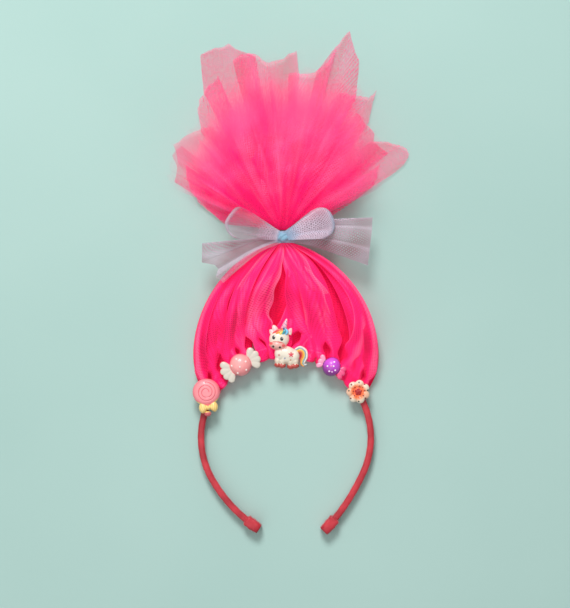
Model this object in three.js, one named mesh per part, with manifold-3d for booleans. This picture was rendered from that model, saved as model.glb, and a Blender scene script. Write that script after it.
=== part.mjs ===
import * as THREE from 'three';
import * as BufferGeometryUtils from 'three/addons/utils/BufferGeometryUtils.js';
import Module from 'manifold-3d';

// A tulle fairy headband lying on its back. Millimetres: X across the head, Y towards
// the tip of the tulle, Z up from the surface that it lies on.
const wasm = await Module();
wasm.setup();

// Hoop: a flat band in a satin cover
const crownRadius = 60.5;
const bandThickness = 4.8;
const bandWidth = 7;
const bandCorner = 1.2;
const tipLength = 9;
const tipWall = 1.2;

// Tulle
const clearance = 0.35;
const sheetWall = 1.2;
const stripCount = 15;
const stripSpread = 58;
const gatherReach = 62.6;
const bellyHeight = 21.7;
const neckWall = 2;
const tuftReach = 150.6;
const tuftRise = 52;
const tuftRoot = 4;
const tuftPleat = 5;

// Bow of net, tied round the neck of the gather
const tieX = -2.1;
const tieY = 142.8;
const wrapWall = 1.5;
const wrapLength = 8;
const neckHalfWidth = 7.4;
const neckHalfDepth = 5.4;
const knotWidth = 9.3;
const knotHeight = 7.8;
const knotDepth = 5.4;
const bowRoot = 5.2;
const loopReach = 43.5;
const loopDepth = 6.5;
const tailReach = 64;

// Charms: flat backed castings
const lollipopRadius = 9.9;
const lollipopDepth = 5.4;
const lollipopBowWidth = 13;
const pinkBallWidth = 15.4;
const pinkBallLength = 16.2;
const purpleBallWidth = 12.6;
const purpleBallLength = 14;
const candyDepth = 7.4;
const candyEndLength = 9;
const candyEndWall = 2.6;
const candyEndPleat = 0.9;
const candyDotRadius = 0.9;
const candyDotRise = 0.5;
const flowerRadius = 8.4;
const flowerDepth = 3.6;
const unicornHeight = 36;
const unicornDepth = 7;

// Heights that follow from the sizes above
const wrapHalfWidth = bandWidth / 2 + clearance + sheetWall / 2;
const wrapHalfThickness = bandThickness / 2 + clearance + sheetWall / 2;
const bandHeight = wrapHalfWidth + sheetWall / 2;
const charmBack = bandHeight + wrapHalfWidth + sheetWall / 2 + clearance;
const wrapHalfDepth = neckHalfDepth + clearance + wrapWall;
const neckHeight = wrapHalfDepth;
const bowBack = neckHeight + wrapHalfDepth + clearance;

const { degToRad, radToDeg, lerp, smoothstep, clamp } = THREE.MathUtils;

// Direction in the XY plane, in degrees from +Y, with +X positive
function heading(angle) {
  const turn = degToRad(angle);
  return new THREE.Vector3(Math.sin(turn), Math.cos(turn), 0);
}

function spot(x, y, z) {
  return new THREE.Vector3(x, y, z);
}

// A closed mesh from points and triangles, turned right side out
function closedGeometry(points, triangles) {
  let volume = 0;
  for (const [a, b, c] of triangles) {
    volume += points[a].dot(points[b].clone().cross(points[c]));
  }
  const order = volume < 0 ? triangles.map(([a, b, c]) => [a, c, b]) : triangles;
  const geometry = new THREE.BufferGeometry().setFromPoints(points);
  geometry.setIndex(order.flat());
  return geometry;
}

// Rings of equal count joined along their length; capOf gives the triangles of an end
function loft(rings, capOf) {
  const count = rings[0].length;
  const triangles = [];
  for (let k = 0; k < rings.length - 1; k += 1) {
    for (let i = 0; i < count; i += 1) {
      const a = k * count + i;
      const b = k * count + ((i + 1) % count);
      triangles.push([a, b, b + count], [a, b + count, a + count]);
    }
  }
  const last = (rings.length - 1) * count;
  for (const [a, b, c] of capOf(count)) {
    triangles.push([a, c, b], [last + a, last + b, last + c]);
  }
  return closedGeometry(rings.flat(), triangles);
}

function fanCap(count) {
  const triangles = [];
  for (let i = 1; i < count - 1; i += 1) {
    triangles.push([0, i, i + 1]);
  }
  return triangles;
}

function stripCap(count) {
  const triangles = [];
  for (let j = 0; j < count / 2 - 1; j += 1) {
    const under = count - 1 - j;
    triangles.push([j, j + 1, under - 1], [j, under - 1, under]);
  }
  return triangles;
}

// A sheet of even wall about a grid of points, given as rows across it
function sheetSolid(rows, wallAt) {
  const rings = rows.map((row, k) => {
    const before = rows[Math.max(k - 1, 0)];
    const after = rows[Math.min(k + 1, rows.length - 1)];
    const upper = [];
    const lower = [];
    row.forEach((point, j) => {
      const across = row[Math.min(j + 1, row.length - 1)].clone().sub(row[Math.max(j - 1, 0)]);
      const along = after[j].clone().sub(before[j]);
      const normal = across.cross(along).normalize().multiplyScalar(wallAt(k) / 2);
      upper.push(point.clone().add(normal));
      lower.unshift(point.clone().sub(normal));
    });
    return upper.concat(lower);
  });
  return loft(rings, stripCap);
}

// Boolean joins and cuts
function toSolid(geometry) {
  const bare = geometry.clone();
  bare.deleteAttribute('normal');
  bare.deleteAttribute('uv');
  const merged = BufferGeometryUtils.mergeVertices(bare, 1e-4);
  return new wasm.Manifold(new wasm.Mesh({
    numProp: 3,
    vertProperties: new Float32Array(merged.attributes.position.array),
    triVerts: new Uint32Array(merged.index.array),
  }));
}

function toGeometry(solid) {
  const mesh = solid.getMesh();
  const geometry = new THREE.BufferGeometry();
  geometry.setAttribute('position', new THREE.BufferAttribute(mesh.vertProperties, 3));
  geometry.setIndex(new THREE.BufferAttribute(mesh.triVerts, 1));
  return geometry;
}

function joined(geometries) {
  return geometries.map(toSolid).reduce((whole, next) => whole.add(next));
}

function cutBy(solid, geometry) {
  return solid.subtract(toSolid(geometry));
}

// Round forms
function ball(x, y, z, radiusX, radiusY, radiusZ, segments = 10, rings = 6) {
  const geometry = new THREE.SphereGeometry(1, segments, rings);
  geometry.rotateX(Math.PI / 2);
  geometry.scale(radiusX, radiusY, radiusZ);
  geometry.translate(x, y, z);
  return geometry;
}

// A tapering round rod through points, each with its radius
function rod(points, radii, sides = 8) {
  const rings = points.map((point, k) => {
    const before = points[Math.max(k - 1, 0)];
    const after = points[Math.min(k + 1, points.length - 1)];
    const along = after.clone().sub(before).normalize();
    const side = along.clone().cross(spot(0, 0, 1)).normalize();
    const up = side.clone().cross(along);
    return Array.from({ length: sides }, (unused, i) => {
      const turn = (2 * Math.PI * i) / sides;
      return point.clone()
        .addScaledVector(side, radii[k] * Math.cos(turn))
        .addScaledVector(up, radii[k] * Math.sin(turn));
    });
  });
  return loft(rings, fanCap);
}

// Everything below a charm's flat back
function belowBack(size) {
  const block = new THREE.BoxGeometry(size, size, size);
  block.translate(0, 0, -size / 2);
  return block;
}

// Centre line of the hoop: a round crown, with arms that spread a little to the tips
const arms = {
  left: { flareStart: 120, end: 162.5, flare: 0.116 },
  right: { flareStart: 115, end: 157, flare: 0.179 },
};

function hoopPoint(angle) {
  const arm = angle < 0 ? arms.left : arms.right;
  const past = Math.max(0, (Math.abs(angle) - arm.flareStart) / (arm.end - arm.flareStart));
  const point = heading(angle).multiplyScalar(crownRadius * (1 + arm.flare * past * past));
  return point.setZ(bandHeight);
}

// A section of the hoop's cover at an angle, a rectangle with cut corners
function hoopSection(angle, thickness, width, corner, shift = 0) {
  const along = hoopPoint(angle + 0.5).sub(hoopPoint(angle - 0.5)).normalize();
  const outward = spot(0, 0, 1).cross(along);
  const centre = hoopPoint(angle).addScaledVector(along, shift);
  const x = thickness / 2;
  const z = width / 2;
  const outline = [
    [x, -z + corner], [x, z - corner], [x - corner, z], [-x + corner, z],
    [-x, z - corner], [-x, -z + corner], [-x + corner, -z], [x - corner, -z],
  ];
  return outline.map(([offset, height]) => (
    centre.clone().addScaledVector(outward, offset).add(spot(0, 0, height))));
}

function makeBand() {
  const rings = [];
  const steps = 28;
  for (let k = 0; k <= steps; k += 1) {
    const angle = lerp(-arms.left.end, arms.right.end, k / steps);
    rings.push(hoopSection(angle, bandThickness, bandWidth, bandCorner));
  }
  return loft(rings, fanCap);
}

// The cover's end, folded over the hoop's tip: a sleeve with a closed end
function makeTip(side) {
  const end = side < 0 ? -arms.left.end : arms.right.end;
  const degrees = side * radToDeg(tipLength / crownRadius);
  const room = 2 * clearance;
  const sleeve = [];
  const bore = [];
  for (let k = 0; k <= 4; k += 1) {
    const angle = end - degrees * (k / 4);
    const outer = 2 * tipWall + room;
    const shift = k === 0 ? side * (tipWall + clearance) : 0;
    sleeve.push(hoopSection(angle, bandThickness + outer, bandWidth + outer, bandCorner, shift));
    const past = k === 4 ? -side * tipWall : 0;
    const start = k === 0 ? side * clearance : past;
    bore.push(hoopSection(angle, bandThickness + room, bandWidth + room, bandCorner / 2, start));
  }
  return toGeometry(cutBy(toSolid(loft(sleeve, fanCap)), loft(bore, fanCap)));
}

// The gathered tulle spreads over this field: across runs from -1 to 1 along the crown,
// up from 0 at the hoop to 1 at the tie. The shoulders are shares of gatherReach.
const fieldSpread = 62;
const fieldTop = tieY - wrapLength / 2 - clearance;
const shoulder = { lowX: 1.26, lowY: 1.4, lowDrop: 0.49, highX: 0.93, highY: 1.84, highLift: 0.14 };

function fieldPoint(across, up) {
  const rim = crownRadius + bandThickness / 2;
  const start = heading(across * fieldSpread).multiplyScalar(rim);
  const low = spot(shoulder.lowX * across, shoulder.lowY - shoulder.lowDrop * across * across, 0);
  const high = spot(shoulder.highX * across, shoulder.highY + shoulder.highLift * across * across, 0);
  const end = spot(tieX + (neckHalfWidth - 2 * clearance) * across, fieldTop, 0);
  const curve = new THREE.CubicBezierCurve3(
    start, low.multiplyScalar(gatherReach), high.multiplyScalar(gatherReach), end);
  return curve.getPoint(up);
}

// A strip of tulle: down from the tie in front, round the hoop, and up behind
const frontStations = [1, 0.86, 0.7, 0.52, 0.34, 0.14];
const backStations = [0.12, 0.36, 0.62, 1];
const turnCorner = 1.6;
const hoopTurn = [
  { out: 0, height: wrapHalfWidth },
  { out: turnCorner - wrapHalfThickness, height: wrapHalfWidth },
  { out: -wrapHalfThickness, height: wrapHalfWidth - turnCorner },
  { out: -wrapHalfThickness, height: turnCorner - wrapHalfWidth },
  { out: turnCorner - wrapHalfThickness, height: -wrapHalfWidth },
  { out: 0, height: -wrapHalfWidth },
];
const flatRun = { ends: 15.5, middle: 11.5, spread: 18 };
const narrowShare = 0.46;
const wideShare = 0.8;
const shoulderDrop = 0.15;
const riseRun = 25;
const upperStrip = { below: 0, arch: 4, frontNeck: 3.6, back: 0, backNeck: -3.6, early: 0, late: 0.7 };
const lowerStrip = { below: 5, arch: 2.6, frontNeck: 1.2, back: 1, backNeck: -1.2, early: 0.2, late: 1 };

function makeStrip(index) {
  const pitch = (2 * stripSpread) / (stripCount - 1);
  const angle = index * pitch - stripSpread;
  const layer = index % 2 === 0 ? upperStrip : lowerStrip;
  const across = [-1, -0.4, 0.4, 1];
  const flat = flatRun.ends + flatRun.middle * Math.exp(-((angle / flatRun.spread) ** 2));
  const hoopTop = bandHeight + wrapHalfWidth;
  const floorLevel = sheetWall / 2;

  function panelRow(up, isFront) {
    const centre = fieldPoint(angle / fieldSpread, up);
    const run = centre.distanceTo(fieldPoint(angle / fieldSpread, 0));
    const risen = clamp((run - flat) / riseRun, 0, 1);
    const spreadOut = isFront ? smoothstep(risen, 0.58, 1) : smoothstep(up, 0.4, 0.62);
    const fall = smoothstep(up, 0.55, 1);
    const halfWidth = pitch * lerp(narrowShare, wideShare, spreadOut);
    return across.map((side) => {
      const point = fieldPoint((angle + halfWidth * side) / fieldSpread, up);
      if (isFront) {
        const lift = smoothstep(risen, layer.early, layer.late);
        const belly = bellyHeight * (1 - shoulderDrop * (angle / stripSpread) ** 2) - layer.below;
        const open = lerp(hoopTop, belly, lift);
        const arch = layer.arch * spreadOut * (1 - fall) * (1 - side * side);
        return point.setZ(lerp(open, neckHeight + layer.frontNeck, fall) + arch);
      }
      const apart = layer.back * (sheetWall + clearance) * smoothstep(up, 0.1, 0.36);
      return point.setZ(lerp(floorLevel + apart, neckHeight + layer.backNeck, smoothstep(up, 0.7, 1)));
    });
  }

  function turnRow({ out, height }) {
    return across.map((side) => heading(angle + narrowShare * pitch * side)
      .multiplyScalar(crownRadius + out)
      .setZ(bandHeight + height));
  }

  const rows = [
    ...frontStations.map((up) => panelRow(up, true)),
    ...hoopTurn.map(turnRow),
    ...backStations.map((up) => panelRow(up, false)),
  ];
  const tightening = (k) => {
    const ups = [...frontStations, ...hoopTurn.map(() => 0), ...backStations];
    return lerp(sheetWall, neckWall, smoothstep(ups[k], 0.86, 1));
  };
  return sheetSolid(rows, tightening);
}

// A fan of cloth from a centre: rays give its edge as an angle and a reach, and the
// path gives its run along the rays as shares of the reach, with the height of each
function fanSheet({ centre, root, rays, path, wall, pleat = 0, divide = 2 }) {
  const edge = [];
  rays.forEach((ray, i) => {
    const next = rays[i + 1];
    const parts = next ? divide : 1;
    for (let part = 0; part < parts; part += 1) {
      const share = part / parts;
      edge.push({
        angle: next ? lerp(ray.angle, next.angle, share) : ray.angle,
        reach: next ? lerp(ray.reach, next.reach, share) : ray.reach,
      });
    }
  });
  const rows = path.map(({ share, height }) => edge.map(({ angle, reach }, j) => {
    const fold = pleat * share * (j % 2 === 0 ? 0 : 1);
    return centre.clone()
      .addScaledVector(heading(angle), lerp(root, reach, share))
      .add(spot(0, 0, height + fold));
  }));
  return sheetSolid(rows, () => wall);
}

// Neck sections: rounded boxes across the bundle
function neckRing(y, halfWidth, halfDepth, count = 16) {
  const power = 0.5;
  return Array.from({ length: count }, (unused, i) => {
    const turn = (2 * Math.PI * (i + 0.5)) / count;
    const x = halfWidth * Math.sign(Math.cos(turn)) * Math.abs(Math.cos(turn)) ** power;
    const z = halfDepth * Math.sign(Math.sin(turn)) * Math.abs(Math.sin(turn)) ** power;
    return spot(tieX + x, y, neckHeight + z);
  });
}

function makeWrap() {
  const bottom = tieY - wrapLength / 2;
  const top = tieY + wrapLength / 2;
  const innerWidth = neckHalfWidth + clearance;
  const innerDepth = neckHalfDepth + clearance;
  const outer = [bottom, top].map((y) => (
    neckRing(y, innerWidth + wrapWall, innerDepth + wrapWall)));
  const inner = [bottom - wrapWall, top + wrapWall].map((y) => neckRing(y, innerWidth, innerDepth));
  return toGeometry(cutBy(toSolid(loft(outer, fanCap)), loft(inner, fanCap)));
}

// The free ends above the tie. Angles in degrees from +Y, reaches as shares of tuftReach,
// lift as a share of tuftRise. The floor row follows the outline, the others lie on it.
const tuftPetals = [
  { angles: [-76, -65, -54], reach: [0.42, 0.57, 0.65], lift: 0 },
  { angles: [-57, -46, -35], reach: [0.63, 0.64, 0.6], lift: 0.03 },
  { angles: [-39, -31, -23], reach: [0.66, 0.76, 0.91], lift: 0 },
  { angles: [-25, -17, -10], reach: [0.92, 0.92, 0.86], lift: 0.03 },
  { angles: [-13, -5, 4], reach: [0.86, 0.8, 0.85], lift: 0 },
  { angles: [2, 10, 17], reach: [0.76, 0.76, 0.91], lift: 0.03 },
  { angles: [14, 19, 26], reach: [0.82, 1, 0.85], lift: 0 },
  { angles: [25, 33, 39], reach: [0.75, 0.79, 0.65], lift: 0.03 },
  { angles: [37, 46, 54], reach: [0.63, 0.6, 0.69], lift: 0 },
  { angles: [51, 59, 65], reach: [0.68, 0.71, 0.53], lift: 0.03 },
  { angles: [60, 67, 74], reach: [0.58, 0.43, 0.3], lift: 0 },
  { angles: [-66, -54, -42], reach: [0.48, 0.55, 0.6], lift: 0.24 },
  { angles: [-44, -34, -24], reach: [0.58, 0.62, 0.72], lift: 0.3 },
  { angles: [-26, -14, -4], reach: [0.74, 0.78, 0.74], lift: 0.34 },
  { angles: [-6, 6, 16], reach: [0.7, 0.72, 0.8], lift: 0.34 },
  { angles: [12, 22, 32], reach: [0.78, 0.82, 0.7], lift: 0.3 },
  { angles: [30, 43, 56], reach: [0.6, 0.58, 0.55], lift: 0.24 },
  { angles: [-50, -38, -26], reach: [0.5, 0.58, 0.62], lift: 0.56 },
  { angles: [-30, -18, -6], reach: [0.62, 0.68, 0.68], lift: 0.66 },
  { angles: [-8, 4, 14], reach: [0.66, 0.66, 0.7], lift: 0.7 },
  { angles: [10, 22, 32], reach: [0.7, 0.72, 0.62], lift: 0.64 },
  { angles: [30, 41, 51], reach: [0.56, 0.55, 0.5], lift: 0.54 },
  { angles: [-38, -27, -14], reach: [0.48, 0.55, 0.56], lift: 0.86 },
  { angles: [-16, -4, 8], reach: [0.54, 0.56, 0.58], lift: 1 },
  { angles: [6, 18, 28], reach: [0.58, 0.6, 0.52], lift: 0.94 },
  { angles: [24, 34, 42], reach: [0.5, 0.5, 0.46], lift: 0.8 },
];

function makeTuft() {
  const bottom = tieY - wrapLength / 2;
  const headTop = tieY + 0.55 * wrapLength;
  const centre = spot(tieX, headTop, 0);
  const head = loft([
    neckRing(bottom, neckHalfWidth, neckHalfDepth),
    neckRing(headTop, neckHalfWidth, neckHalfDepth),
    neckRing(headTop + 0.5 * wrapLength, 1.25 * neckHalfWidth, 1.2 * neckHalfDepth),
    neckRing(headTop + 1.25 * wrapLength, 1.1 * neckHalfWidth, neckHalfDepth),
    neckRing(headTop + 1.625 * wrapLength, 0.5 * neckHalfWidth, 0.5 * neckHalfDepth),
  ], fanCap);
  const petals = tuftPetals.map(({ angles, reach, lift }) => {
    const floorLevel = sheetWall / 2;
    const start = neckHeight + neckHalfDepth * (1.1 * lift - 0.6);
    const end = floorLevel + tuftRise * lift;
    const path = [0, 0.24, 0.6, 1].map((share) => ({
      share,
      height: lerp(start, end, lift < 0.1 ? smoothstep(share, 0, 0.24) : share ** 0.85),
    }));
    return fanSheet({
      centre,
      root: tuftRoot,
      rays: angles.map((angle, i) => ({ angle, reach: reach[i] * tuftReach })),
      path,
      wall: sheetWall,
      pleat: lift < 0.1 ? 0 : tuftPleat,
    });
  });
  return toGeometry(joined([head, ...petals]));
}

// The bow's loops and tails, in degrees from +Y about the knot and shares of their reach
const loops = {
  left: { angles: [-95, -81, -69, -55], reach: [0.79, 0.96, 1, 0.86], low: 16.4 },
  right: { angles: [51, 64, 74, 85], reach: [0.74, 0.86, 0.86, 0.79], low: 20.6 },
};
const tails = {
  left: { angles: [-129, -119, -108, -97], reach: [0.83, 0.85, 0.98, 0.88], rise: 8.5 },
  right: { angles: [79, 88, 98, 109], reach: [1, 0.98, 0.97, 0.99], rise: 4.5 },
};

function makeLoop({ angles, reach, low }) {
  const tipHeight = low + loopDepth / 2;
  const rootHeight = bowBack + sheetWall / 2 + (low - bowBack) * 0.5;
  const path = [
    { share: 0, height: rootHeight },
    { share: 0.45, height: low },
    { share: 0.86, height: low + 0.4 },
    { share: 0.99, height: tipHeight - 1.2 },
    { share: 0.99, height: tipHeight + 1.2 },
    { share: 0.86, height: low + loopDepth - 0.4 },
    { share: 0.45, height: low + loopDepth },
    { share: 0, height: rootHeight + loopDepth * 0.4 },
  ];
  const rays = angles.map((angle, i) => ({ angle, reach: reach[i] * loopReach }));
  return fanSheet({ centre: spot(tieX, tieY, 0), root: bowRoot, rays, path, wall: sheetWall, divide: 1 });
}

function makeTail({ angles, reach, rise }) {
  const rootHeight = bowBack + sheetWall / 2;
  const path = [
    { share: 0, height: rootHeight },
    { share: 0.3, height: rootHeight + 0.4 * rise },
    { share: 0.65, height: rootHeight + rise },
    { share: 1, height: rootHeight + 0.8 * rise },
  ];
  const rays = angles.map((angle, i) => ({ angle, reach: reach[i] * tailReach }));
  return fanSheet({ centre: spot(tieX, tieY, 0), root: bowRoot, rays, path, wall: sheetWall, divide: 1 });
}

function makeKnot() {
  const body = joined([ball(0, 0, 0.4 * knotDepth, knotWidth / 2, knotHeight / 2, 0.6 * knotDepth, 14, 8)]);
  return toGeometry(cutBy(body, belowBack(4 * knotWidth)));
}

// Charms, each modelled on its own flat back at z = 0
function makeLollipop() {
  const surface = (radius) => lollipopDepth * (1 - 0.3 * (radius / lollipopRadius) ** 2);
  const profile = [new THREE.Vector2(0, 0), new THREE.Vector2(0.88 * lollipopRadius, 0)];
  [1, 0.94, 0.76, 0.5].forEach((share, i) => {
    const depth = i === 0 ? 0.4 * lollipopDepth : surface(share * lollipopRadius);
    profile.push(new THREE.Vector2(share * lollipopRadius, depth));
  });
  profile.push(new THREE.Vector2(0, surface(0)));
  const disc = new THREE.LatheGeometry(profile, 14);
  disc.rotateX(Math.PI / 2);
  const swirl = { turns: 2.25, inner: 0.24, outer: 0.76, radius: 0.75, steps: 17 };
  const route = [];
  const radii = [];
  for (let k = 0; k <= swirl.steps; k += 1) {
    const share = k / swirl.steps;
    const reach = lollipopRadius * lerp(swirl.inner, swirl.outer, share);
    route.push(heading(90 - 360 * swirl.turns * share).multiplyScalar(reach).setZ(surface(reach) + 0.15));
    radii.push(swirl.radius);
  }
  const lobe = lollipopBowWidth / 4;
  const bowY = -1.12 * lollipopRadius;
  const bow = [
    ball(-1.05 * lobe, bowY, 1.2, lobe, 1.15 * lobe, 3.2),
    ball(1.05 * lobe, bowY, 1.2, lobe, 1.15 * lobe, 3.2),
    ball(0, bowY, 1.6, 0.5 * lobe, 0.55 * lobe, 3.4),
  ];
  const stickEnd = ball(0, bowY - 1.25 * lobe, 0.6, 0.75 * lobe, 0.8 * lobe, 2);
  const face = cutBy(toSolid(disc), rod(route, radii, 4));
  const whole = face.add(joined([...bow, stickEnd]));
  return toGeometry(cutBy(whole, belowBack(6 * lollipopRadius)));
}

// A wrapped sweet: a ball with a fluted end of its wrapper on each side, along X. Dots in
// millimetres from its middle.
const pinkCandy = {
  width: pinkBallWidth,
  length: pinkBallLength,
  fans: [
    { angles: [62, 90, 126], reach: [0.82, 0.8, 0.72] },
    { angles: [-118, -87, -60], reach: [0.82, 0.8, 0.88] },
  ],
  dots: [[-3.2, 4.2], [-6, -2], [0, -1], [4, -4.6], [-2.4, -5.6], [4.2, 2.4]],
};
const purpleCandy = {
  width: purpleBallWidth,
  length: purpleBallLength,
  fans: [
    { angles: [66, 92, 119], reach: [0.45, 0.47, 0.53] },
    { angles: [-121, -95, -66], reach: [0.54, 0.4, 0.52] },
  ],
  dots: [[0, 4.2], [-3.4, 0], [2, 0.8], [4, -2.6], [-1.6, -4.2], [1.2, -4.4]],
};

function makeCandy({ width, length, fans, dots }) {
  const parts = [ball(0, 0, 0.15 * candyDepth, width / 2, length / 2, 0.85 * candyDepth, 12, 8)];
  fans.forEach(({ angles, reach }) => {
    parts.push(fanSheet({
      centre: spot(0, 0, 0),
      root: 0.38 * width,
      rays: angles.map((angle, i) => ({ angle, reach: width / 2 + reach[i] * candyEndLength })),
      path: [{ share: 0, height: 1.5 }, { share: 0.55, height: 1.9 }, { share: 1, height: 1.5 }],
      wall: candyEndWall,
      pleat: candyEndPleat,
    }));
  });
  dots.forEach(([x, y]) => {
    const rise = Math.sqrt(1 - (2 * x / width) ** 2 - (2 * y / length) ** 2);
    const height = candyDepth * (0.15 + 0.85 * rise);
    parts.push(ball(x, y, height, candyDotRadius, candyDotRadius, candyDotRise, 6, 3));
  });
  return toGeometry(cutBy(joined(parts), belowBack(6 * width)));
}

function makeFlower() {
  const petals = 7;
  const petalRadius = 0.37 * flowerRadius;
  const parts = [ball(0, 0, 0.5, 0.29 * flowerRadius, 0.29 * flowerRadius, flowerDepth, 8, 6)];
  parts.push(ball(0, 0, 0.4, 0.62 * flowerRadius, 0.62 * flowerRadius, 0.6 * flowerDepth, 14, 4));
  for (let k = 0; k < petals; k += 1) {
    const centre = heading((360 * k) / petals + 10).multiplyScalar(flowerRadius - petalRadius);
    parts.push(ball(centre.x, centre.y, 0.4, petalRadius, petalRadius, 0.72 * flowerDepth, 8, 4));
  }
  return toGeometry(cutBy(joined(parts), belowBack(6 * flowerRadius)));
}

// The toy unicorn, lying flat: shares of unicornHeight from the middle of its body
const unicornForms = [
  { name: 'body', x: 0.04, y: -0.02, z: 0.3, size: [0.19, 0.13, 0.6] },
  { name: 'chest', x: -0.1, y: 0, z: 0.3, size: [0.13, 0.15, 0.55] },
  { name: 'rump', x: 0.17, y: 0, z: 0.3, size: [0.11, 0.13, 0.55] },
  { name: 'head', x: -0.15, y: 0.33, z: 0.35, size: [0.2, 0.19, 0.62] },
  { name: 'muzzle', x: -0.16, y: 0.2, z: 0.35, size: [0.17, 0.1, 0.62] },
  { name: 'frontHooves', x: -0.15, y: -0.19, z: 0.3, size: [0.1, 0.08, 0.5] },
  { name: 'backHooves', x: 0.12, y: -0.18, z: 0.3, size: [0.1, 0.09, 0.5] },
  { name: 'leftEar', x: -0.26, y: 0.48, z: 0.25, size: [0.07, 0.11, 0.35] },
  { name: 'rightEar', x: 0, y: 0.45, z: 0.25, size: [0.05, 0.07, 0.35] },
  { name: 'forelock', x: -0.12, y: 0.47, z: 0.35, size: [0.15, 0.07, 0.66] },
];

function makeUnicorn() {
  const scale = unicornHeight;
  const parts = unicornForms.map(({ x, y, z, size }) => (
    ball(x * scale, y * scale, z * unicornDepth * 0.5,
      size[0] * scale, size[1] * scale, size[2] * unicornDepth, 8, 5)));
  const hornPoints = [0.5, 0.62, 0.72].map((y, i) => spot((-0.09 + 0.05 * i) * scale, y * scale, 2.2));
  parts.push(rod(hornPoints, [0.065 * scale, 0.04 * scale, 0.012 * scale]));
  const tail = [
    [0.22, 0.12, 0.05], [0.32, 0.15, 0.08], [0.41, 0.06, 0.09],
    [0.43, -0.08, 0.08], [0.47, -0.19, 0.055], [0.54, -0.23, 0.03],
  ];
  const tailPoints = tail.map(([x, y]) => spot(x * scale, y * scale, 1.7));
  parts.push(rod(tailPoints, tail.map(([, , radius]) => radius * scale)));
  return toGeometry(cutBy(joined(parts), belowBack(6 * scale)));
}

// Finishes
const finishes = {
  satin: { color: 0xc8323f, roughness: 0.45, metalness: 0 },
  tulle: { color: 0xff2d75, roughness: 0.85, metalness: 0 },
  net: { color: 0xa9bfdc, roughness: 0.8, metalness: 0 },
  knotNet: { color: 0x93c5de, roughness: 0.7, metalness: 0 },
  lollipop: { color: 0xff8f9a, roughness: 0.3, metalness: 0 },
  pinkCandy: { color: 0xffaaa8, roughness: 0.3, metalness: 0 },
  unicorn: { color: 0xf6ead8, roughness: 0.3, metalness: 0 },
  purpleCandy: { color: 0xd565e6, roughness: 0.25, metalness: 0 },
  flower: { color: 0xf8dcc4, roughness: 0.3, metalness: 0 },
};

const headband = new THREE.Group();

function place(name, geometry, finish, x = 0, y = 0, z = 0, turn = 0) {
  const mesh = new THREE.Mesh(geometry, new THREE.MeshStandardMaterial(finish));
  mesh.name = name;
  mesh.position.set(x, y, z);
  mesh.rotation.z = degToRad(turn);
  headband.add(mesh);
}

place('band', makeBand(), finishes.satin);
place('band_tip_left', makeTip(-1), finishes.satin);
place('band_tip_right', makeTip(1), finishes.satin);

for (let index = 0; index < stripCount; index += 1) {
  place(`tulle_strip_${String(index + 1).padStart(2, '0')}`, makeStrip(index), finishes.tulle);
}

place('tulle_tuft', makeTuft(), finishes.tulle);
place('bow_wrap', makeWrap(), finishes.knotNet);
place('bow_knot', makeKnot(), finishes.knotNet, tieX, tieY, bowBack);
place('bow_loop_left', makeLoop(loops.left), finishes.net);
place('bow_loop_right', makeLoop(loops.right), finishes.net);
place('bow_tail_left', makeTail(tails.left), finishes.net);
place('bow_tail_right', makeTail(tails.right), finishes.net);

// Charms are glued to the strips over the hoop: angle round the crown in degrees, how
// far out from the hoop's centre line, and turn
const charms = [
  { name: 'lollipop_charm', make: makeLollipop, finish: finishes.lollipop, angle: -60, out: 4.7, turn: 8 },
  { name: 'pink_candy_charm', make: () => makeCandy(pinkCandy), finish: finishes.pinkCandy, angle: -31.8, out: 0.6, turn: 31 },
  { name: 'unicorn_charm', make: makeUnicorn, finish: finishes.unicorn, angle: 0.6, out: -1.7, turn: 0 },
  { name: 'purple_candy_charm', make: () => makeCandy(purpleCandy), finish: finishes.purpleCandy, angle: 32.6, out: -0.5, turn: -29 },
  { name: 'flower_charm', make: makeFlower, finish: finishes.flower, angle: 57.4, out: 0.3, turn: 0 },
];
charms.forEach(({ name, make, finish, angle, out, turn }) => {
  const centre = heading(angle).multiplyScalar(crownRadius + out);
  place(name, make(), finish, centre.x, centre.y, charmBack, turn);
});

// The origin is below the middle of the whole thing, on the surface that it lies on
const extent = new THREE.Box3().setFromObject(headband);
const middle = extent.getCenter(new THREE.Vector3());
const model = new THREE.Group();
headband.position.set(-middle.x, -middle.y, -extent.min.z);
model.add(headband);
model.updateMatrixWorld(true);

export default model;
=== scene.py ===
import math
import random

import bmesh
import bpy
from mathutils import Matrix, Vector, noise


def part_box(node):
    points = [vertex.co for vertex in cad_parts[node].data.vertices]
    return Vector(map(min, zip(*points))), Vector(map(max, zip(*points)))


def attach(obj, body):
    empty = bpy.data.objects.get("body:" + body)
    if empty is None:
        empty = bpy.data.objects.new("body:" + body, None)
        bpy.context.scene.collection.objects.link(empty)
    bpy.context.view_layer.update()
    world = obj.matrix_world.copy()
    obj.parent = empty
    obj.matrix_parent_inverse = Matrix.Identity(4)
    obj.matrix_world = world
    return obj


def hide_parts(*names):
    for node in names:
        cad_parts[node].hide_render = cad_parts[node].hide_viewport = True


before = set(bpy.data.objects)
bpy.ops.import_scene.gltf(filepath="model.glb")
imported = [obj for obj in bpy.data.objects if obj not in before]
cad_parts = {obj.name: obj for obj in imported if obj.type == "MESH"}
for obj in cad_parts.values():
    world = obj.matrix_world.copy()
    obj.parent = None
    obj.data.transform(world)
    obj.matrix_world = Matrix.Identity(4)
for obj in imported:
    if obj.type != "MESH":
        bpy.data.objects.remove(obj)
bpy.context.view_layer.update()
print("frame loaded")

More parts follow.
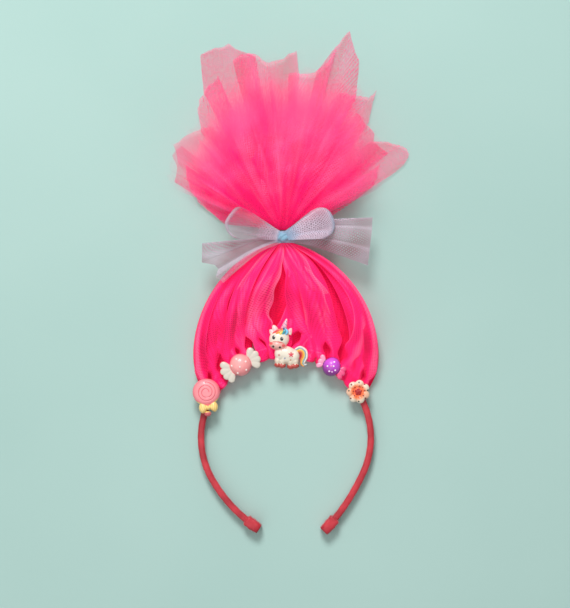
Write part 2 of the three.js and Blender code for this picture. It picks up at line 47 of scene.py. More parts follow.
# The hoop's centre and sizes, and the tie's place, all read from the frame. Most
# shapes below are worked out in millimetres from the hoop's centre and then placed.
mm = 0.001
hoopLow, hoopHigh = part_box("band")
wrapShade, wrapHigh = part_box("bow_wrap")
knotLow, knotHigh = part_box("bow_knot")
tuftLow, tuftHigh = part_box("tulle_tuft")
outerRadius = (hoopHigh.x - hoopLow.x) / 2 / mm
hoopX = (hoopHigh.x + hoopLow.x) / 2
hoopY = hoopHigh.y - outerRadius * mm
hoopZ = (hoopLow.z + hoopHigh.z) / 2 / mm
hoop = {
    "thickness": 4.8, "width": (hoopHigh.z - hoopLow.z) / mm, "edge": 1.5, "steps": 200,
    "ends": (-162.5, 157.0), "flares": ((120, 42.5, 0.116), (115, 42, 0.179)),
}
hoop["radius"] = outerRadius - hoop["thickness"] / 2
tieX = ((wrapShade.x + wrapHigh.x) / 2 - hoopX) / mm
tieY = ((wrapShade.y + wrapHigh.y) / 2 - hoopY) / mm
neckZ = (wrapShade.z + wrapHigh.z) / 2 / mm
knotZ = knotLow.z / mm
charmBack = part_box("lollipop_charm")[0].z / mm


def spot(x, y, z):
    return Vector((hoopX + x * mm, hoopY + y * mm, z * mm))


def heading(angle):
    turn = math.radians(angle)
    return math.sin(turn), math.cos(turn)


def blend(a, b, share):
    return a + (b - a) * share


def ease(value, low, high):
    share = min(max((value - low) / (high - low), 0), 1)
    return share * share * (3 - 2 * share)


def along(values, share):
    # A value from an even list, with straight runs between its entries
    place = min(max(share, 0), 1) * (len(values) - 1)
    first = min(int(place), len(values) - 2)
    return blend(values[first], values[first + 1], place - first)


def crumple(x, y, seed, size):
    return noise.noise(Vector((x / size, y / size, seed * 7.3)))


# Shader maths: a value wrapped so that Python's operators add Math nodes
class Flow:
    def __init__(self, finish, socket):
        self.finish = finish
        self.socket = socket

    def math(self, operation, *others):
        inputs = {0: self}
        for place, other in enumerate(others):
            inputs[place + 1] = other
        return self.finish.node("ShaderNodeMath", {"operation": operation}, inputs)

    def __add__(self, other):
        return self.math("ADD", other)

    def __radd__(self, other):
        return self.math("ADD", other)

    def __sub__(self, other):
        return self.math("SUBTRACT", other)

    def __rsub__(self, other):
        return self.finish.node("ShaderNodeMath", {"operation": "SUBTRACT"}, {0: other, 1: self})

    def __mul__(self, other):
        return self.math("MULTIPLY", other)

    def __rmul__(self, other):
        return self.math("MULTIPLY", other)

    def cosine(self):
        return self.math("COSINE")

    def step(self, low, high):
        settings = {"interpolation_type": "SMOOTHSTEP"}
        return self.finish.node("ShaderNodeMapRange", settings, {0: self, 1: low, 2: high, 3: 0.0, 4: 1.0})


class Finish:
    def __init__(self, name):
        self.material = bpy.data.materials.new(name)
        self.material.use_nodes = True
        self.tree = self.material.node_tree
        self.tree.nodes.clear()

    def node(self, kind, settings=None, inputs=None, output=0):
        made = self.tree.nodes.new(kind)
        for key, value in (settings or {}).items():
            if key == "stops":
                for _ in value[2:]:
                    made.color_ramp.elements.new(0.5)
                for stop, (position, colour) in zip(made.color_ramp.elements, value):
                    stop.position = position
                    stop.color = colour
            else:
                setattr(made, key, value)
        for key, value in (inputs or {}).items():
            if isinstance(value, Flow):
                self.tree.links.new(value.socket, made.inputs[key])
            else:
                made.inputs[key].default_value = value
        return Flow(self, made.outputs[output]) if len(made.outputs) else None

    def mix(self, share, first, second, blending="MIX"):
        settings = {"data_type": "RGBA", "blend_type": blending}
        return self.node("ShaderNodeMix", settings, {0: share, 6: first, 7: second}, 2)

    def objectPlace(self):
        return self.node("ShaderNodeTexCoord", output=3)

    def cloudy(self, place, scale, detail=3.0, roughness=0.5):
        inputs = {"Vector": place, "Scale": scale, "Detail": detail, "Roughness": roughness}
        return self.node("ShaderNodeTexNoise", None, inputs)

    def bump(self, height, strength, distance):
        inputs = {"Height": height, "Strength": strength, "Distance": distance}
        return self.node("ShaderNodeBump", None, inputs)

    def surface(self, inputs):
        shader = self.node("ShaderNodeBsdfPrincipled", None, inputs)
        self.node("ShaderNodeOutputMaterial", None, {"Surface": shader})
        return self.material


def rgb(red, green, blue):
    linear = [((c / 255 + 0.055) / 1.055) ** 2.4 if c > 10 else c / 255 / 12.92 for c in (red, green, blue)]
    return (*linear, 1.0)


# Net: round holes in a three way lattice, read from the cloth's own map in metres. Each
# sheet carries three numbers: fold is 1 on an edge or crease, tone picks a place along the
# finish's three colours, and thin is 1 where the cloth fades out. Tone and fold hold painted
# shade and highlight, the holes take painted shade, and the emission is painted light.
def netFinish(name, look):
    f = Finish(name)
    spin = {"Vector": f.node("ShaderNodeUVMap", {"uv_map": "cloth"}), "Rotation": (0.0, 0.0, look["turn"])}
    cloth = f.node("ShaderNodeMapping", None, spin)
    x = f.node("ShaderNodeSeparateXYZ", None, {0: cloth}, 0)
    y = f.node("ShaderNodeSeparateXYZ", None, {0: cloth}, 1)
    turns = 2 * math.pi / (look["cell"] * mm)
    across = x * turns
    slant = x * (turns / 2)
    rise = y * (turns * math.sqrt(3) / 2)
    lattice = across.cosine() + (slant + rise).cosine() + (slant - rise).cosine()
    holes = lattice.step(-0.5, 1.2)
    fold = f.node("ShaderNodeAttribute", {"attribute_name": "fold"}, None, 2)
    tone = f.node("ShaderNodeAttribute", {"attribute_name": "tone"}, None, 2)
    thin = f.node("ShaderNodeAttribute", {"attribute_name": "thin"}, None, 2)
    least, most = look["cover"]
    cover = most - holes * (most - least)
    grain = f.cloudy(cloth, 620.0, 2.0).step(0.3, 0.7)
    cover = (cover + fold * (1.0 - cover) * 0.4) * (1.0 - thin) * (1.0 - look["grain"] * grain)
    cloud = f.cloudy(f.objectPlace(), 55.0).step(0.3, 0.7)
    shade = tone + 0.12 * (cloud - 0.5)
    deep, body, light = look["colours"]
    stops = [(0.0, deep), (0.55, body), (1.0, light)]
    # painted highlight: fold lightens the colour along edges and creases, besides thickening the net there
    colour = f.node("ShaderNodeValToRGB", {"stops": stops}, {0: shade + 0.3 * fold})
    # painted shade: the holes darken towards the under colour, for the shadow of the cloth beneath
    colour = f.mix(holes * look["holeShadeShare"], colour, look["under"])
    return f.surface({
        "Base Color": colour, "Roughness": 0.75, "Alpha": cover, "Normal": f.bump(1.0 - holes, 0.2, 0.0003),
        "Sheen Weight": 0.25, "Sheen Roughness": 0.45, "Specular IOR Level": 0.2,
        # painted light: the emission stands in for light passed through and scattered in the net
        "Emission Color": colour, "Emission Strength": look["glow"],
    })


def satinFinish(name, deep, bright):
    f = Finish(name)
    place = f.objectPlace()
    threads = f.cloudy(f.node("ShaderNodeMapping", None, {0: place, "Scale": (1.0, 1.0, 7.0)}), 900.0, 2.0)
    cloud = f.cloudy(place, 90.0).step(0.3, 0.7)
    colour = f.mix(cloud, deep, bright)
    normal = f.bump(threads + 0.6 * cloud, 0.35, 0.0003)
    return f.surface({
        "Base Color": colour, "Roughness": 0.36 + 0.15 * threads, "Normal": normal,
        "Sheen Weight": 0.25, "Anisotropic": 0.4, "Specular IOR Level": 0.5,
    })


# Cast resin, with the paint, and painted shade and light, kept on the piece as a colour attribute
def resinFinish(name):
    f = Finish(name)
    paint = f.node("ShaderNodeAttribute", {"attribute_name": "paint"})
    place = f.objectPlace()
    cloud = f.cloudy(place, 260.0, 2.0)
    colour = f.mix(0.04 * cloud, paint, rgb(255, 255, 255))
    normal = f.bump(f.cloudy(place, 420.0, 2.0), 0.12, 0.0004)
    return f.surface({
        "Base Color": colour, "Roughness": 0.32 + 0.12 * cloud, "Normal": normal,
        "Coat Weight": 0.35, "Coat Roughness": 0.12, "Specular IOR Level": 0.4,
    })


pinks = (rgb(200, 0, 56), rgb(254, 22, 120), rgb(255, 116, 170))
deepPinks = (rgb(206, 0, 62), rgb(251, 32, 116), rgb(255, 112, 162))
looseTulle = netFinish("loose_tulle", {
    "cell": 1.3, "turn": 0.2, "cover": (0.14, 0.7), "grain": 0.4, "glow": 0.2,
    "holeShadeShare": 0.3, "under": rgb(206, 14, 76), "colours": pinks,
})
gatheredTulle = netFinish("gathered_tulle", {
    "cell": 1.6, "turn": 0.2, "cover": (0.8, 0.96), "grain": 0.14, "glow": 0.26,
    "holeShadeShare": 0.45, "under": rgb(206, 6, 66), "colours": deepPinks,
})
blueNet = netFinish("blue_net", {
    "cell": 1.15, "turn": 0.26, "cover": (0.38, 0.8), "grain": 0.25, "glow": 0.04,
    "holeShadeShare": 0.55, "under": rgb(104, 62, 78),
    "colours": (rgb(150, 92, 110), rgb(218, 204, 222), rgb(160, 194, 222)),
})
knotNet = netFinish("knot_net", {
    "cell": 1.75, "turn": 0.5, "cover": (0.86, 1.0), "grain": 0.0, "glow": 0.06,
    "holeShadeShare": 0.1, "under": rgb(110, 150, 178),
    "colours": (rgb(132, 172, 196), rgb(158, 196, 216), rgb(204, 220, 234)),
})
satin = satinFinish("coral_satin", rgb(168, 22, 40), rgb(206, 46, 60))
resin = resinFinish("painted_resin")
print("finishes made")


def dress(bm, name, material, slot, *nodes, smooth=True):
    mesh = bpy.data.meshes.new(name)
    bm.to_mesh(mesh)
    bm.free()
    piece = bpy.data.objects.new(name, mesh)
    bpy.context.scene.collection.objects.link(piece)
    mesh.materials.append(material)
    mesh.polygons.foreach_set("use_smooth", [smooth] * len(mesh.polygons))
    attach(piece, "root")
    if nodes:
        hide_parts(*nodes)
    return piece


def settled(piece):
    # The piece's mesh with its modifiers applied
    graph = bpy.context.evaluated_depsgraph_get()
    mesh = bpy.data.meshes.new_from_object(piece.evaluated_get(graph))
    piece.modifiers.clear()
    piece.data = mesh
    return mesh


def clothSheet(name, grid, shape, size, material, slot, *nodes):
    # A flat grid of cloth, mapped in metres and then laid into its shape
    bm = bmesh.new()
    bmesh.ops.create_grid(bm, x_segments=grid[0], y_segments=grid[1], size=0.5)
    cloth = bm.loops.layers.uv.new("cloth")
    layers = [bm.verts.layers.float.new(key) for key in ("fold", "tone", "thin")]
    for face in bm.faces:
        for loop in face.loops:
            place = loop.vert.co
            loop[cloth].uv = ((place.x + 0.5) * size[0] * mm, (place.y + 0.5) * size[1] * mm)
    for vert in bm.verts:
        vert.co, *looks = shape(vert.co.x + 0.5, vert.co.y + 0.5)
        for layer, look in zip(layers, looks):
            vert[layer] = min(max(look, 0), 1)
    return dress(bm, name, material, slot, *nodes)


def declareCloth(size, area=None):
    # The cut in millimetres, with its area where it is a gore and not a rectangle. Nothing is kept or declared
    # from them here.
    flat = (size[0] * mm, size[1] * mm)
    if area is None:
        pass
    else:
        area * mm * mm


def edgeRun(corners):
    # Length of the line through corners given as angle and reach
    places = [Vector(heading(angle)) * reach for angle, reach in corners]
    return sum((after - before).length for before, after in zip(places, places[1:]))


# Hoop
def hoopFrame(angle):
    # A place on the hoop's centre line, which opens out past the start of each flare
    start, run, growth = hoop["flares"][0 if angle < 0 else 1]
    past = max(0, (abs(angle) - start) / run)
    reach = hoop["radius"] * (1 + growth * past * past)
    x, y = heading(angle)
    return x * reach, y * reach


def hoopRing(angle, thickness, width, edge, shift=0.0):
    # A rounded rectangle of vertices square to the hoop's centre line
    x0, y0 = hoopFrame(angle - 0.5)
    x1, y1 = hoopFrame(angle + 0.5)
    run = math.hypot(x1 - x0, y1 - y0)
    tx, ty = (x1 - x0) / run, (y1 - y0) / run
    x, y = hoopFrame(angle)
    places = []
    for quarter, (sx, sz) in enumerate(((1, 1), (-1, 1), (-1, -1), (1, -1))):
        for k in range(5):
            turn = math.radians(90 * quarter + 22.5 * k)
            out = sx * (thickness / 2 - edge) + edge * math.cos(turn)
            up = sz * (width / 2 - edge) + edge * math.sin(turn)
            places.append(spot(x + tx * shift - ty * out, y + ty * shift + tx * out, hoopZ + up))
    return places


def sweepRings(bm, rings):
    first = [bm.verts.new(place) for place in rings[0]]
    edges = [bm.edges.new((a, b)) for a, b in zip(first, first[1:] + first[:1])]
    bmesh.ops.contextual_create(bm, geom=edges)
    for ring in rings[1:]:
        made = bmesh.ops.extrude_edge_only(bm, edges=edges)["geom"]
        verts = [g for g in made if isinstance(g, bmesh.types.BMVert)]
        edges = [e for e in made if isinstance(e, bmesh.types.BMEdge) and all(v in verts for v in e.verts)]
        for vert, place in zip(verts, ring):
            vert.co = place
    bmesh.ops.contextual_create(bm, geom=edges)
    bmesh.ops.recalc_face_normals(bm, faces=bm.faces[:])


def makeHoop():
    bm = bmesh.new()
    rings = []
    for k in range(hoop["steps"] + 1):
        angle = blend(*hoop["ends"], k / hoop["steps"])
        swell = 0.12 * math.sin(angle * 0.9)
        rings.append(hoopRing(angle, hoop["thickness"] + swell, hoop["width"], hoop["edge"]))
    sweepRings(bm, rings)
    return dress(bm, "satin_hoop", satin, "satin", "band")


def makeTipCover(side):
    end = hoop["ends"][0 if side < 0 else 1]
    name = "left" if side < 0 else "right"
    bm = bmesh.new()
    rings = []
    steps = 18
    for k in range(steps + 1):
        share = k / steps
        angle = end - side * 8.6 * (1 - share)
        past = ease(share, 0.0, 0.1) * (1 - 0.45 * ease(share, 0.86, 1.0))
        fold = 0.35 * math.sin(share * 14) * ease(share, 0.1, 0.3)
        thickness = 5.3 + 2.6 * past + fold
        width = 7.5 + 2.55 * past
        shift = side * (1.4 * ease(share, 0.9, 1.0))
        rings.append(hoopRing(angle, thickness, width, 2.0, shift))
    sweepRings(bm, rings)
    return dress(bm, f"satin_tip_{name}", satin, "satin", f"band_tip_{name}")


makeHoop()
makeTipCover(-1)
makeTipCover(1)
print("hoop made")

# Gathered strips. The field is the same spread of cloth as the solids have: across
# from -1 to 1 along the crown, up from 0 at the hoop to 1 at the tie.
gather = {
    "count": 15, "spread": 58.0, "fieldSpread": 62.0, "reach": 62.6, "neckHalf": 6.7,
    "grid": (60, 150), "folds": 3, "belly": 24.5, "under": 4.5, "flaps": {4: -1, 6: 1, 8: 1, 10: 1},
    "map": (46.0, 226.0), "cut": (28.0, 226.0),
}
fieldTop = (wrapShade.y - hoopY) / mm - 0.35


def fieldPoint(across, up):
    rim = outerRadius
    x, y = heading(across * gather["fieldSpread"])
    reach = gather["reach"]
    points = (
        (x * rim, y * rim),
        (1.26 * across * reach, (1.4 - 0.49 * across * across) * reach),
        (0.93 * across * reach, (1.84 + 0.14 * across * across) * reach),
        (tieX + gather["neckHalf"] * across, fieldTop),
    )
    down = 1 - up
    shares = (down ** 3, 3 * down * down * up, 3 * down * up * up, up ** 3)
    return (
        sum(share * point[0] for share, point in zip(shares, points)),
        sum(share * point[1] for share, point in zip(shares, points)),
    )


def stripShape(index, chance):
    pitch = 2 * gather["spread"] / (gather["count"] - 1)
    angle = index * pitch - gather["spread"]
    upper = index % 2 == 0
    outer = (abs(angle) / gather["spread"]) ** 6
    flat = 13.0 + 12.0 * math.exp(-((angle / 18) ** 2))
    phase = chance.uniform(0, 10)
    lean = chance.uniform(-1.8, 1.8)
    wander = chance.choice((-1, 1)) * chance.uniform(0.5, 1.6) if 1 < index < gather["count"] - 2 else 0.0
    wide = chance.uniform(0.6, 0.95) if upper else 1.05
    flapWay = gather["flaps"].get(index, 0)
    flap = chance.uniform(1.7, 2.1) if flapWay else 1.0
    folds = gather["folds"]
    foldReach = (1.0, chance.uniform(0.45, 0.85), chance.uniform(0.7, 1.0), chance.uniform(0.5, 1.0))
    way = chance.choice((-1, 1))
    # lower strips get a darker tone: painted shade where they lie under the upper ones
    shadeOf = chance.uniform(0.5, 0.68) if upper else chance.uniform(0.46, 0.62)
    pinchAt, puffAt = chance.uniform(6.0, 10.5), chance.uniform(15.0, 20.0)
    pinch, puff = chance.uniform(0.22, 0.46), chance.uniform(0.15, 0.4)
    base = fieldPoint(angle / gather["fieldSpread"], 0)
    hoopTop = hoop["width"] / 2 + hoopZ
    shoulder = 1 - 0.15 * (angle / gather["spread"]) ** 2

    def sectionAt(c, up):
        # Across the strip: the cloth runs to and fro in folds, each under the last. Soft
        # waves and a few sharp creases wander along it.
        turn = c * folds
        swing = -way * math.cos(math.pi * turn)
        side = swing * along(foldReach, c) + 0.05 * math.sin(9 * up + phase)
        if turn < 1 and side * flapWay > 0:
            side *= 1 + (flap - 1) * (1 + 0.16 * math.sin(26 * up + phase)) * ease(up, 0.12, 0.5)
        wave = math.sin(2 * math.pi * (0.62 * side + 0.4 * math.sin(3.5 * up + phase)) + phase)
        crease = abs(math.sin(math.pi * (c * 5.1 + 0.4 * math.sin(4 * up + phase) + phase)))
        line = ease(abs(swing), 0.9, 1.0)
        return side, turn, wave, (1 - crease) ** 4, line

    def front(c, up):
        side, turn, wave, crease, line = sectionAt(c, up)
        x0, y0 = fieldPoint(angle / gather["fieldSpread"], up)
        run = math.hypot(x0 - base[0], y0 - base[1])
        risen = min(max((run - 0.85 * flat) / 32, 0), 1)
        fall = ease(up, 0.55, 1)
        spreadOut = ease(run, 5, 24)
        half = pitch * blend(0.54, wide, spreadOut)
        bulge = math.exp(-(((run - puffAt) / 4.0) ** 2))
        narrow = math.exp(-(((run - pinchAt) / 3.4) ** 2))
        half *= (1 - pinch * narrow) * (1 + puff * bulge)
        wound = math.sin(2 * math.pi * run / 1.7 + 1.5 * side) * (1 - ease(run, 2.5, 6.0))
        ridge = 1.2 * math.exp(-(((run - 1.5) / 2.4) ** 2)) + 2.0 * puff * bulge + 0.25 * wound
        sway = 0.2 * math.sin(2 * math.pi * up + phase) * abs(wander)
        drift = pitch * (wander * math.sin(math.pi * up) + sway)
        place = min(max((angle + drift + half * side) / gather["fieldSpread"], -1.02), 1.02)
        x, y = fieldPoint(place, up)
        lift = ease(risen, 0.0, 1.0) if upper else ease(risen, 0.1, 1)
        belly = (gather["belly"] - (0 if upper else gather["under"])) * shoulder
        crest = blend(hoopTop + (1.0 if upper else 0.8), belly, lift) + ridge
        crest = blend(crest, neckZ + (4.4 if upper else 1.6), fall)
        arch = blend(1.6, (1.0 if flapWay else 1.7) if upper else 1.0, spreadOut) * (1 - 0.7 * fall)
        arch *= min(side * side, 1.1)
        drop = blend(0.1, 0.9, spreadOut) * turn * (1 - 0.5 * fall)
        relief = blend(0.1, 0.3, spreadOut) * wave - blend(0.1, 0.5, spreadOut) * crease
        z = crest - arch - drop + relief * (1 - 0.5 * fall)
        z += lean * side * ease(run, 8, 30) * (1 - fall)
        rough = ease(run, 12, 30) * (1 - 0.7 * fall)
        z += rough * (0.8 * crumple(x, y, index, 18) + 0.25 * crumple(x, y, index + 50, 6))
        # Tone: painted shade in the creases, on folds further under, at the ribbons' sides and in the pinch;
        # painted light on the waves' crests and the rolls' ridges, and a painted sheen along the rims of the
        # outermost strips. It is darker towards the outer strips, lighter where the flaps spread past the
        # strip, and the crumple adds random tone.
        tone = shadeOf + 0.08 * wave - 0.08 * crease - 0.06 * turn / folds
        rim = outer ** 2 * ease(side * math.copysign(1, angle), -0.7, 0.5)
        tone += 0.6 * rim - 0.2 * outer - 0.1 * (angle / gather["spread"]) ** 2
        tone -= 0.14 * ease(abs(side), 0.75, 1.0) * (1 - outer)
        tone += 0.35 * ease(abs(side), 1.0, 1.2)
        tone += 0.2 * crumple(side * 2 + index, up * 3, index + 80, 1.0) + 0.1 * wound
        tone -= 0.35 * narrow * ease(abs(side), 0.4, 1.0)
        sheer = 0.1 * outer + 0.4 * rim + 0.4 * ease(abs(side), 1.05, 1.3)
        return spot(x, y, z), line * (1 - 0.5 * fall) * spreadOut, tone, sheer

    def turned(c, share):
        side, turn, wave, crease, line = sectionAt(c, 0.0)
        swing = math.pi * share
        out = 3.0 + 1.3 * (1 - side * side) - 0.1 * turn
        tall = hoop["width"] / 2 + 0.6 + 1.1 * (1 - side * side) - 0.15 * turn
        down = hoop["width"] / 2 + 0.2 + (hoopZ - hoop["width"] / 2 - 0.5) * (1 - 0.3 * turn / folds)
        reachOut = -out * math.sin(swing) ** 0.6 if 0 < share < 1 else 0.0
        rise = math.copysign(abs(math.cos(swing)) ** 0.6, math.cos(swing))
        z = hoopZ + rise * (tall if rise > 0 else down)
        reach = hoop["radius"] + reachOut
        x, y = heading(angle + pitch * 0.54 * side)
        wound = math.sin(2 * math.pi * share * 9)
        # painted shade on the roll's sides and in its creases, painted light on its winding ridges
        tone = 0.56 + 0.12 * wave + 0.12 * wound - 0.3 * crease - 0.5 * side * side
        return spot(x * reach, y * reach, z), 0.0, tone

    def back(c, up):
        side, turn, wave, crease, line = sectionAt(c, up)
        half = pitch * blend(0.7, 1.15, ease(up, 0.02, 0.3))
        place = min(max((angle + half * side) / gather["fieldSpread"], -1.02), 1.02)
        x, y = fieldPoint(place, up)
        level = 0.6 + (0 if upper else 1.6) * ease(up, 0.1, 0.36) + 0.4 * (folds - turn)
        neck = neckZ + (-4.2 if upper else -1.6)
        z = blend(level + 0.2 * wave, neck, ease(up, 0.7, 1))
        # the back panels are painted dark: painted shade under the front of the strip
        return spot(x, y, z), 0.3 * line, 0.12 + 0.1 * wave

    def shape(c, v):
        if v < 0.5:
            return front(c, 1 - v / 0.5)
        if v < 0.6:
            return turned(c, (v - 0.5) / 0.1)
        return back(c, (v - 0.6) / 0.4)

    return shape


def makeStrips():
    # The map is wider than the cut, so the net is drawn together across each strip
    for index in range(gather["count"]):
        shape = stripShape(index, random.Random(40 + index))
        node = f"tulle_strip_{index + 1:02d}"
        piece = clothSheet(
            f"gathered_{node}", gather["grid"], shape, gather["map"], gatheredTulle, "pink_tulle", node)
        declareCloth(gather["cut"])


makeStrips()
print("strips made")

# Tuft: every free end is a sheet from the tie to its cut edge. Corners are angles from
# +Y and reaches as shares of the longest one, lift is a share of the tuft's height.
tuft = {"reach": 150.6, "grid": (80, 48), "root": 5.2, "layer": 1.1, "fullness": 1.15}
tuft["rise"] = (tuftHigh.z - tuftLow.z) / mm
outerEnds = [
    {"corners": [
        (-84, 0.28), (-77, 0.34), (-68, 0.46), (-66, 0.56), (-59, 0.585), (-56, 0.63), (-50, 0.63)],
     "lift": 0.0, "fade": 0.5},
    {"corners": [(-58, 0.58), (-52, 0.655), (-45, 0.64), (-34, 0.6)], "lift": 0.03, "fade": 0.45},
    {"corners": [(-40, 0.6), (-35, 0.71), (-32, 0.74), (-22, 0.8)], "lift": 0.03},
    {"corners": [(-30, 0.76), (-25.2, 0.917), (-16.2, 0.921), (-9, 0.84)], "lift": 0.0},
    {"corners": [(-17, 0.84), (-11, 0.865), (-6, 0.8), (0, 0.81), (4.3, 0.852), (6, 0.74)], "lift": 0.03},
    {"corners": [(2, 0.74), (11.5, 0.76), (14.6, 0.815), (16.5, 0.9)], "lift": 0.04},
    {"corners": [(12, 0.77), (16.5, 0.915), (18.6, 1.0), (24, 0.88), (29, 0.72)], "lift": 0.0},
    {"corners": [(22, 0.7), (33, 0.745), (33.8, 0.79), (38.6, 0.65)], "lift": 0.03},
    {"corners": [(32, 0.66), (42.4, 0.635), (46, 0.6), (54, 0.62)], "lift": 0.0},
    {"corners": [(44, 0.58), (50, 0.65), (55, 0.69), (59, 0.7), (61.5, 0.66), (63, 0.58), (64, 0.48)],
     "lift": 0.03},
    {"corners": [(56, 0.56), (64, 0.48), (68, 0.36), (74, 0.24)], "lift": 0.0},
    {"corners": [(-81, 0.3), (-72, 0.42), (-64, 0.5), (-56, 0.56)], "lift": 0.045, "fade": 0.0},
]
# The other ends fill the bundle in tiers: how many, the angles they span, how wide each
# is in degrees, their reaches as shares of the outline, and their lifts
tiers = [
    {"count": 7, "span": 56, "wide": 32, "reach": (0.92, 1.04), "lift": (0.05, 0.12)},
    {"count": 7, "span": 52, "wide": 36, "reach": (0.86, 1.0), "lift": (0.16, 0.34)},
    {"count": 6, "span": 46, "wide": 38, "reach": (0.8, 0.96), "lift": (0.4, 0.56)},
    {"count": 5, "span": 38, "wide": 40, "reach": (0.74, 0.9), "lift": (0.6, 0.76)},
    {"count": 4, "span": 26, "wide": 42, "reach": (0.62, 0.8), "lift": (0.82, 0.95)},
]
outline = [0.42, 0.6, 0.64, 0.62, 0.68, 0.8, 0.82, 0.76, 0.74, 0.8, 0.78, 0.7, 0.62, 0.6, 0.56, 0.34]


def endShape(corners, lift, pleats, seed, fade):
    chance = random.Random(seed)
    phase = chance.uniform(0, 6)
    beat = chance.uniform(0.12, 0.3)
    sharp = chance.uniform(0.1, 1.0)
    edge = []
    for angle, reach in corners:
        x, y = heading(angle)
        edge.append((x * reach * tuft["reach"], y * reach * tuft["reach"]))
    middle = math.radians((corners[0][0] + corners[-1][0]) / 2)
    flat = lift < 0.05
    startZ = neckZ + 4.6 * (2.0 * lift - 0.9)
    endZ = 0.5 + lift * (tuft["rise"] - 4)

    def shape(s, t):
        # Pleats: the cloth swings past itself, so that each one lies on the next
        swing = 2 * math.pi * (pleats * s + beat * math.sin(6.0 * s + phase)) + phase
        over = blend(3.2, 0.2, ease(t, 0, 0.7)) if flat else blend(3.2, 1.2, t ** 0.7)
        u = s + over * math.sin(swing) / (2 * math.pi * pleats)
        u += 0.03 * crumple(s * 9, t * 3, seed, 1.0) * t
        ragged = 1 + 0.02 * t * crumple(u * 8, 0.0, seed + 9, 1.0)
        ex = along([e[0] for e in edge], u) * ragged
        ey = along([e[1] for e in edge], u) * ragged
        t1 = t * (1 + (0.0 if flat else 0.09 * t * crumple(u * 5, 0.0, seed + 5, 1.0)))
        rootX = tuft["root"] * ((2 * u - 1) * 0.7 + math.sin(middle) * 0.6)
        x = blend(rootX, ex, t1)
        y = ey * t1
        rise = ease(t, 0, 0.3) if flat else t ** 0.75 * (1 - 0.12 * ease(t, 0.7, 1))
        z = blend(startZ, endZ, rise)
        z += tuft["layer"] * (1 + math.cos(swing)) * (0.35 + 0.65 * ease(t, 0, 0.2)) * (0.3 if flat else 1.0)
        rough = (1.2 if flat else 6.0) * ease(t, 0.1, 0.8)
        z += rough * crumple(x, y, seed, 24) + 0.35 * rough * crumple(x, y, seed + 3, 8)
        crease = ease(abs(math.cos(swing / 2 + 0.8)), 0.965, 1.0) * sharp * (1 - 0.6 * t)
        hem = max(ease(t, 0.98, 1.0), ease(abs(2 * s - 1), 0.98, 1.0)) * (0.35 if flat else 0.05)
        # tone: darker near the tie and lighter towards the ends, most on the raised ends: painted shade and
        # light; the crumple adds random tone
        tone = blend(0.4, 0.6 if flat else 0.84, t ** 0.9) + 0.34 * crumple(u * 5, t * 1.6, seed + 7, 1.0)
        bearing = along([corner[0] for corner in corners], u)
        thin = fade * ease(t, 0.45, 0.9) * (1 - ease(abs(bearing), 60, 72))
        if not flat:
            thin = 0.9 * max(ease(t, 0.55, 1.0), 0.85 * ease(abs(2 * s - 1), 0.7, 1.0))
        return spot(tieX + x, tieY + 5.0 + y, max(z, 0.25)), max(crease, hem), tone, thin

    return shape


def endCut(corners):
    # A free end's size and area. It is a gore, as wide as its fan is at the mean reach and
    # as long as its longest, and it narrows to the root in the tie.
    reaches = [reach * tuft["reach"] for angle, reach in corners]
    span = math.radians(corners[-1][0] - corners[0][0])
    wide = tuft["fullness"] * span * sum(reaches) / len(reaches) + tuft["root"]
    return (wide, max(reaches)), (wide + tuft["root"]) / 2 * sum(reaches) / len(reaches)


def makeTuft():
    ends = [(end["corners"], end["lift"], 2, end.get("fade", 0.25)) for end in outerEnds]
    chance = random.Random(11)
    for tier in tiers:
        for k in range(tier["count"]):
            centre = tier["span"] * (2 * k / (tier["count"] - 1) - 1) + chance.uniform(-4, 4)
            corners = []
            for step in range(4):
                angle = min(max(centre + tier["wide"] * (step / 3 - 0.5), -70), 67)
                reach = along(outline, (angle + 77) / 154) * chance.uniform(*tier["reach"])
                corners.append((angle, reach))
            ends.append((corners, chance.uniform(*tier["lift"]), chance.choice((3, 4, 5)), 0.9))
    for index, (corners, lift, pleats, fade) in enumerate(ends):
        size, area = endCut(corners)
        shape = endShape(corners, lift, pleats, 300 + index, fade)
        name = f"tulle_end_{index + 1:02d}"
        piece = clothSheet(name, tuft["grid"], shape, size, looseTulle, "pink_tulle", "tulle_tuft")
        declareCloth(size, area)


makeTuft()
print("tuft made")


def rounded(values, passes=2):
    # Corner cutting, so that a short list of numbers or places bends softly
    for _ in range(passes):
        smooth = [values[0]]
        for a, b in zip(values, values[1:]):
            smooth += [0.75 * a + 0.25 * b, 0.25 * a + 0.75 * b]
        values = smooth + [values[-1]]
    return values


# Bow of net: loops and tails in polar corners about the knot, at the outer end and, for
# a tail, also at its waist
bow = {
    "root": 2.8, "rootHalf": 3.9, "grid": (48, 80), "ridges": 5,
    "loopMap": (42.0, 84.0), "tailMap": (38.0, 64.0), "wrapMap": (0.05, 0.012), "knotMap": 0.006,
}
bowLoops = {
    "left": {
        "corners": [(-94, 30), (-91, 35), (-84, 39.5), (-76, 41.5), (-66, 39.5), (-56, 38), (-53, 30)],
        "low": 16.0, "depth": 7.0, "tone": 0.3, "thin": 0.68, "blue": 0.14, "sheer": 0.0, "band": 0.0},
    "right": {
        "corners": [(48, 26), (51, 32), (58, 36), (67, 37), (78, 37), (88, 34), (94, 28)],
        "low": 19.4, "depth": 7.0, "tone": 0.5, "thin": 0.0, "blue": 0.4, "sheer": 0.0, "band": 0.0},
}
bowTails = {
    "left": {
        "corners": [(-128, 53.2), (-121, 55), (-117, 51), (-113, 52), (-108, 60), (-95, 57)],
        "waist": [(-123, 20), (-94, 20)], "rise": 8.5, "tone": 0.06, "thin": 0.0, "blue": 0.16,
        "sheer": 0.2, "band": 0.42},
    "right": {
        "corners": [(78, 64.7), (87, 62.7), (99, 61.9), (109, 63.3)],
        "waist": [(50, 18), (108, 19)], "rise": 4.8, "tone": 0.14, "thin": 0.0, "blue": 0.16,
        "sheer": 0.0, "band": 0.0},
}


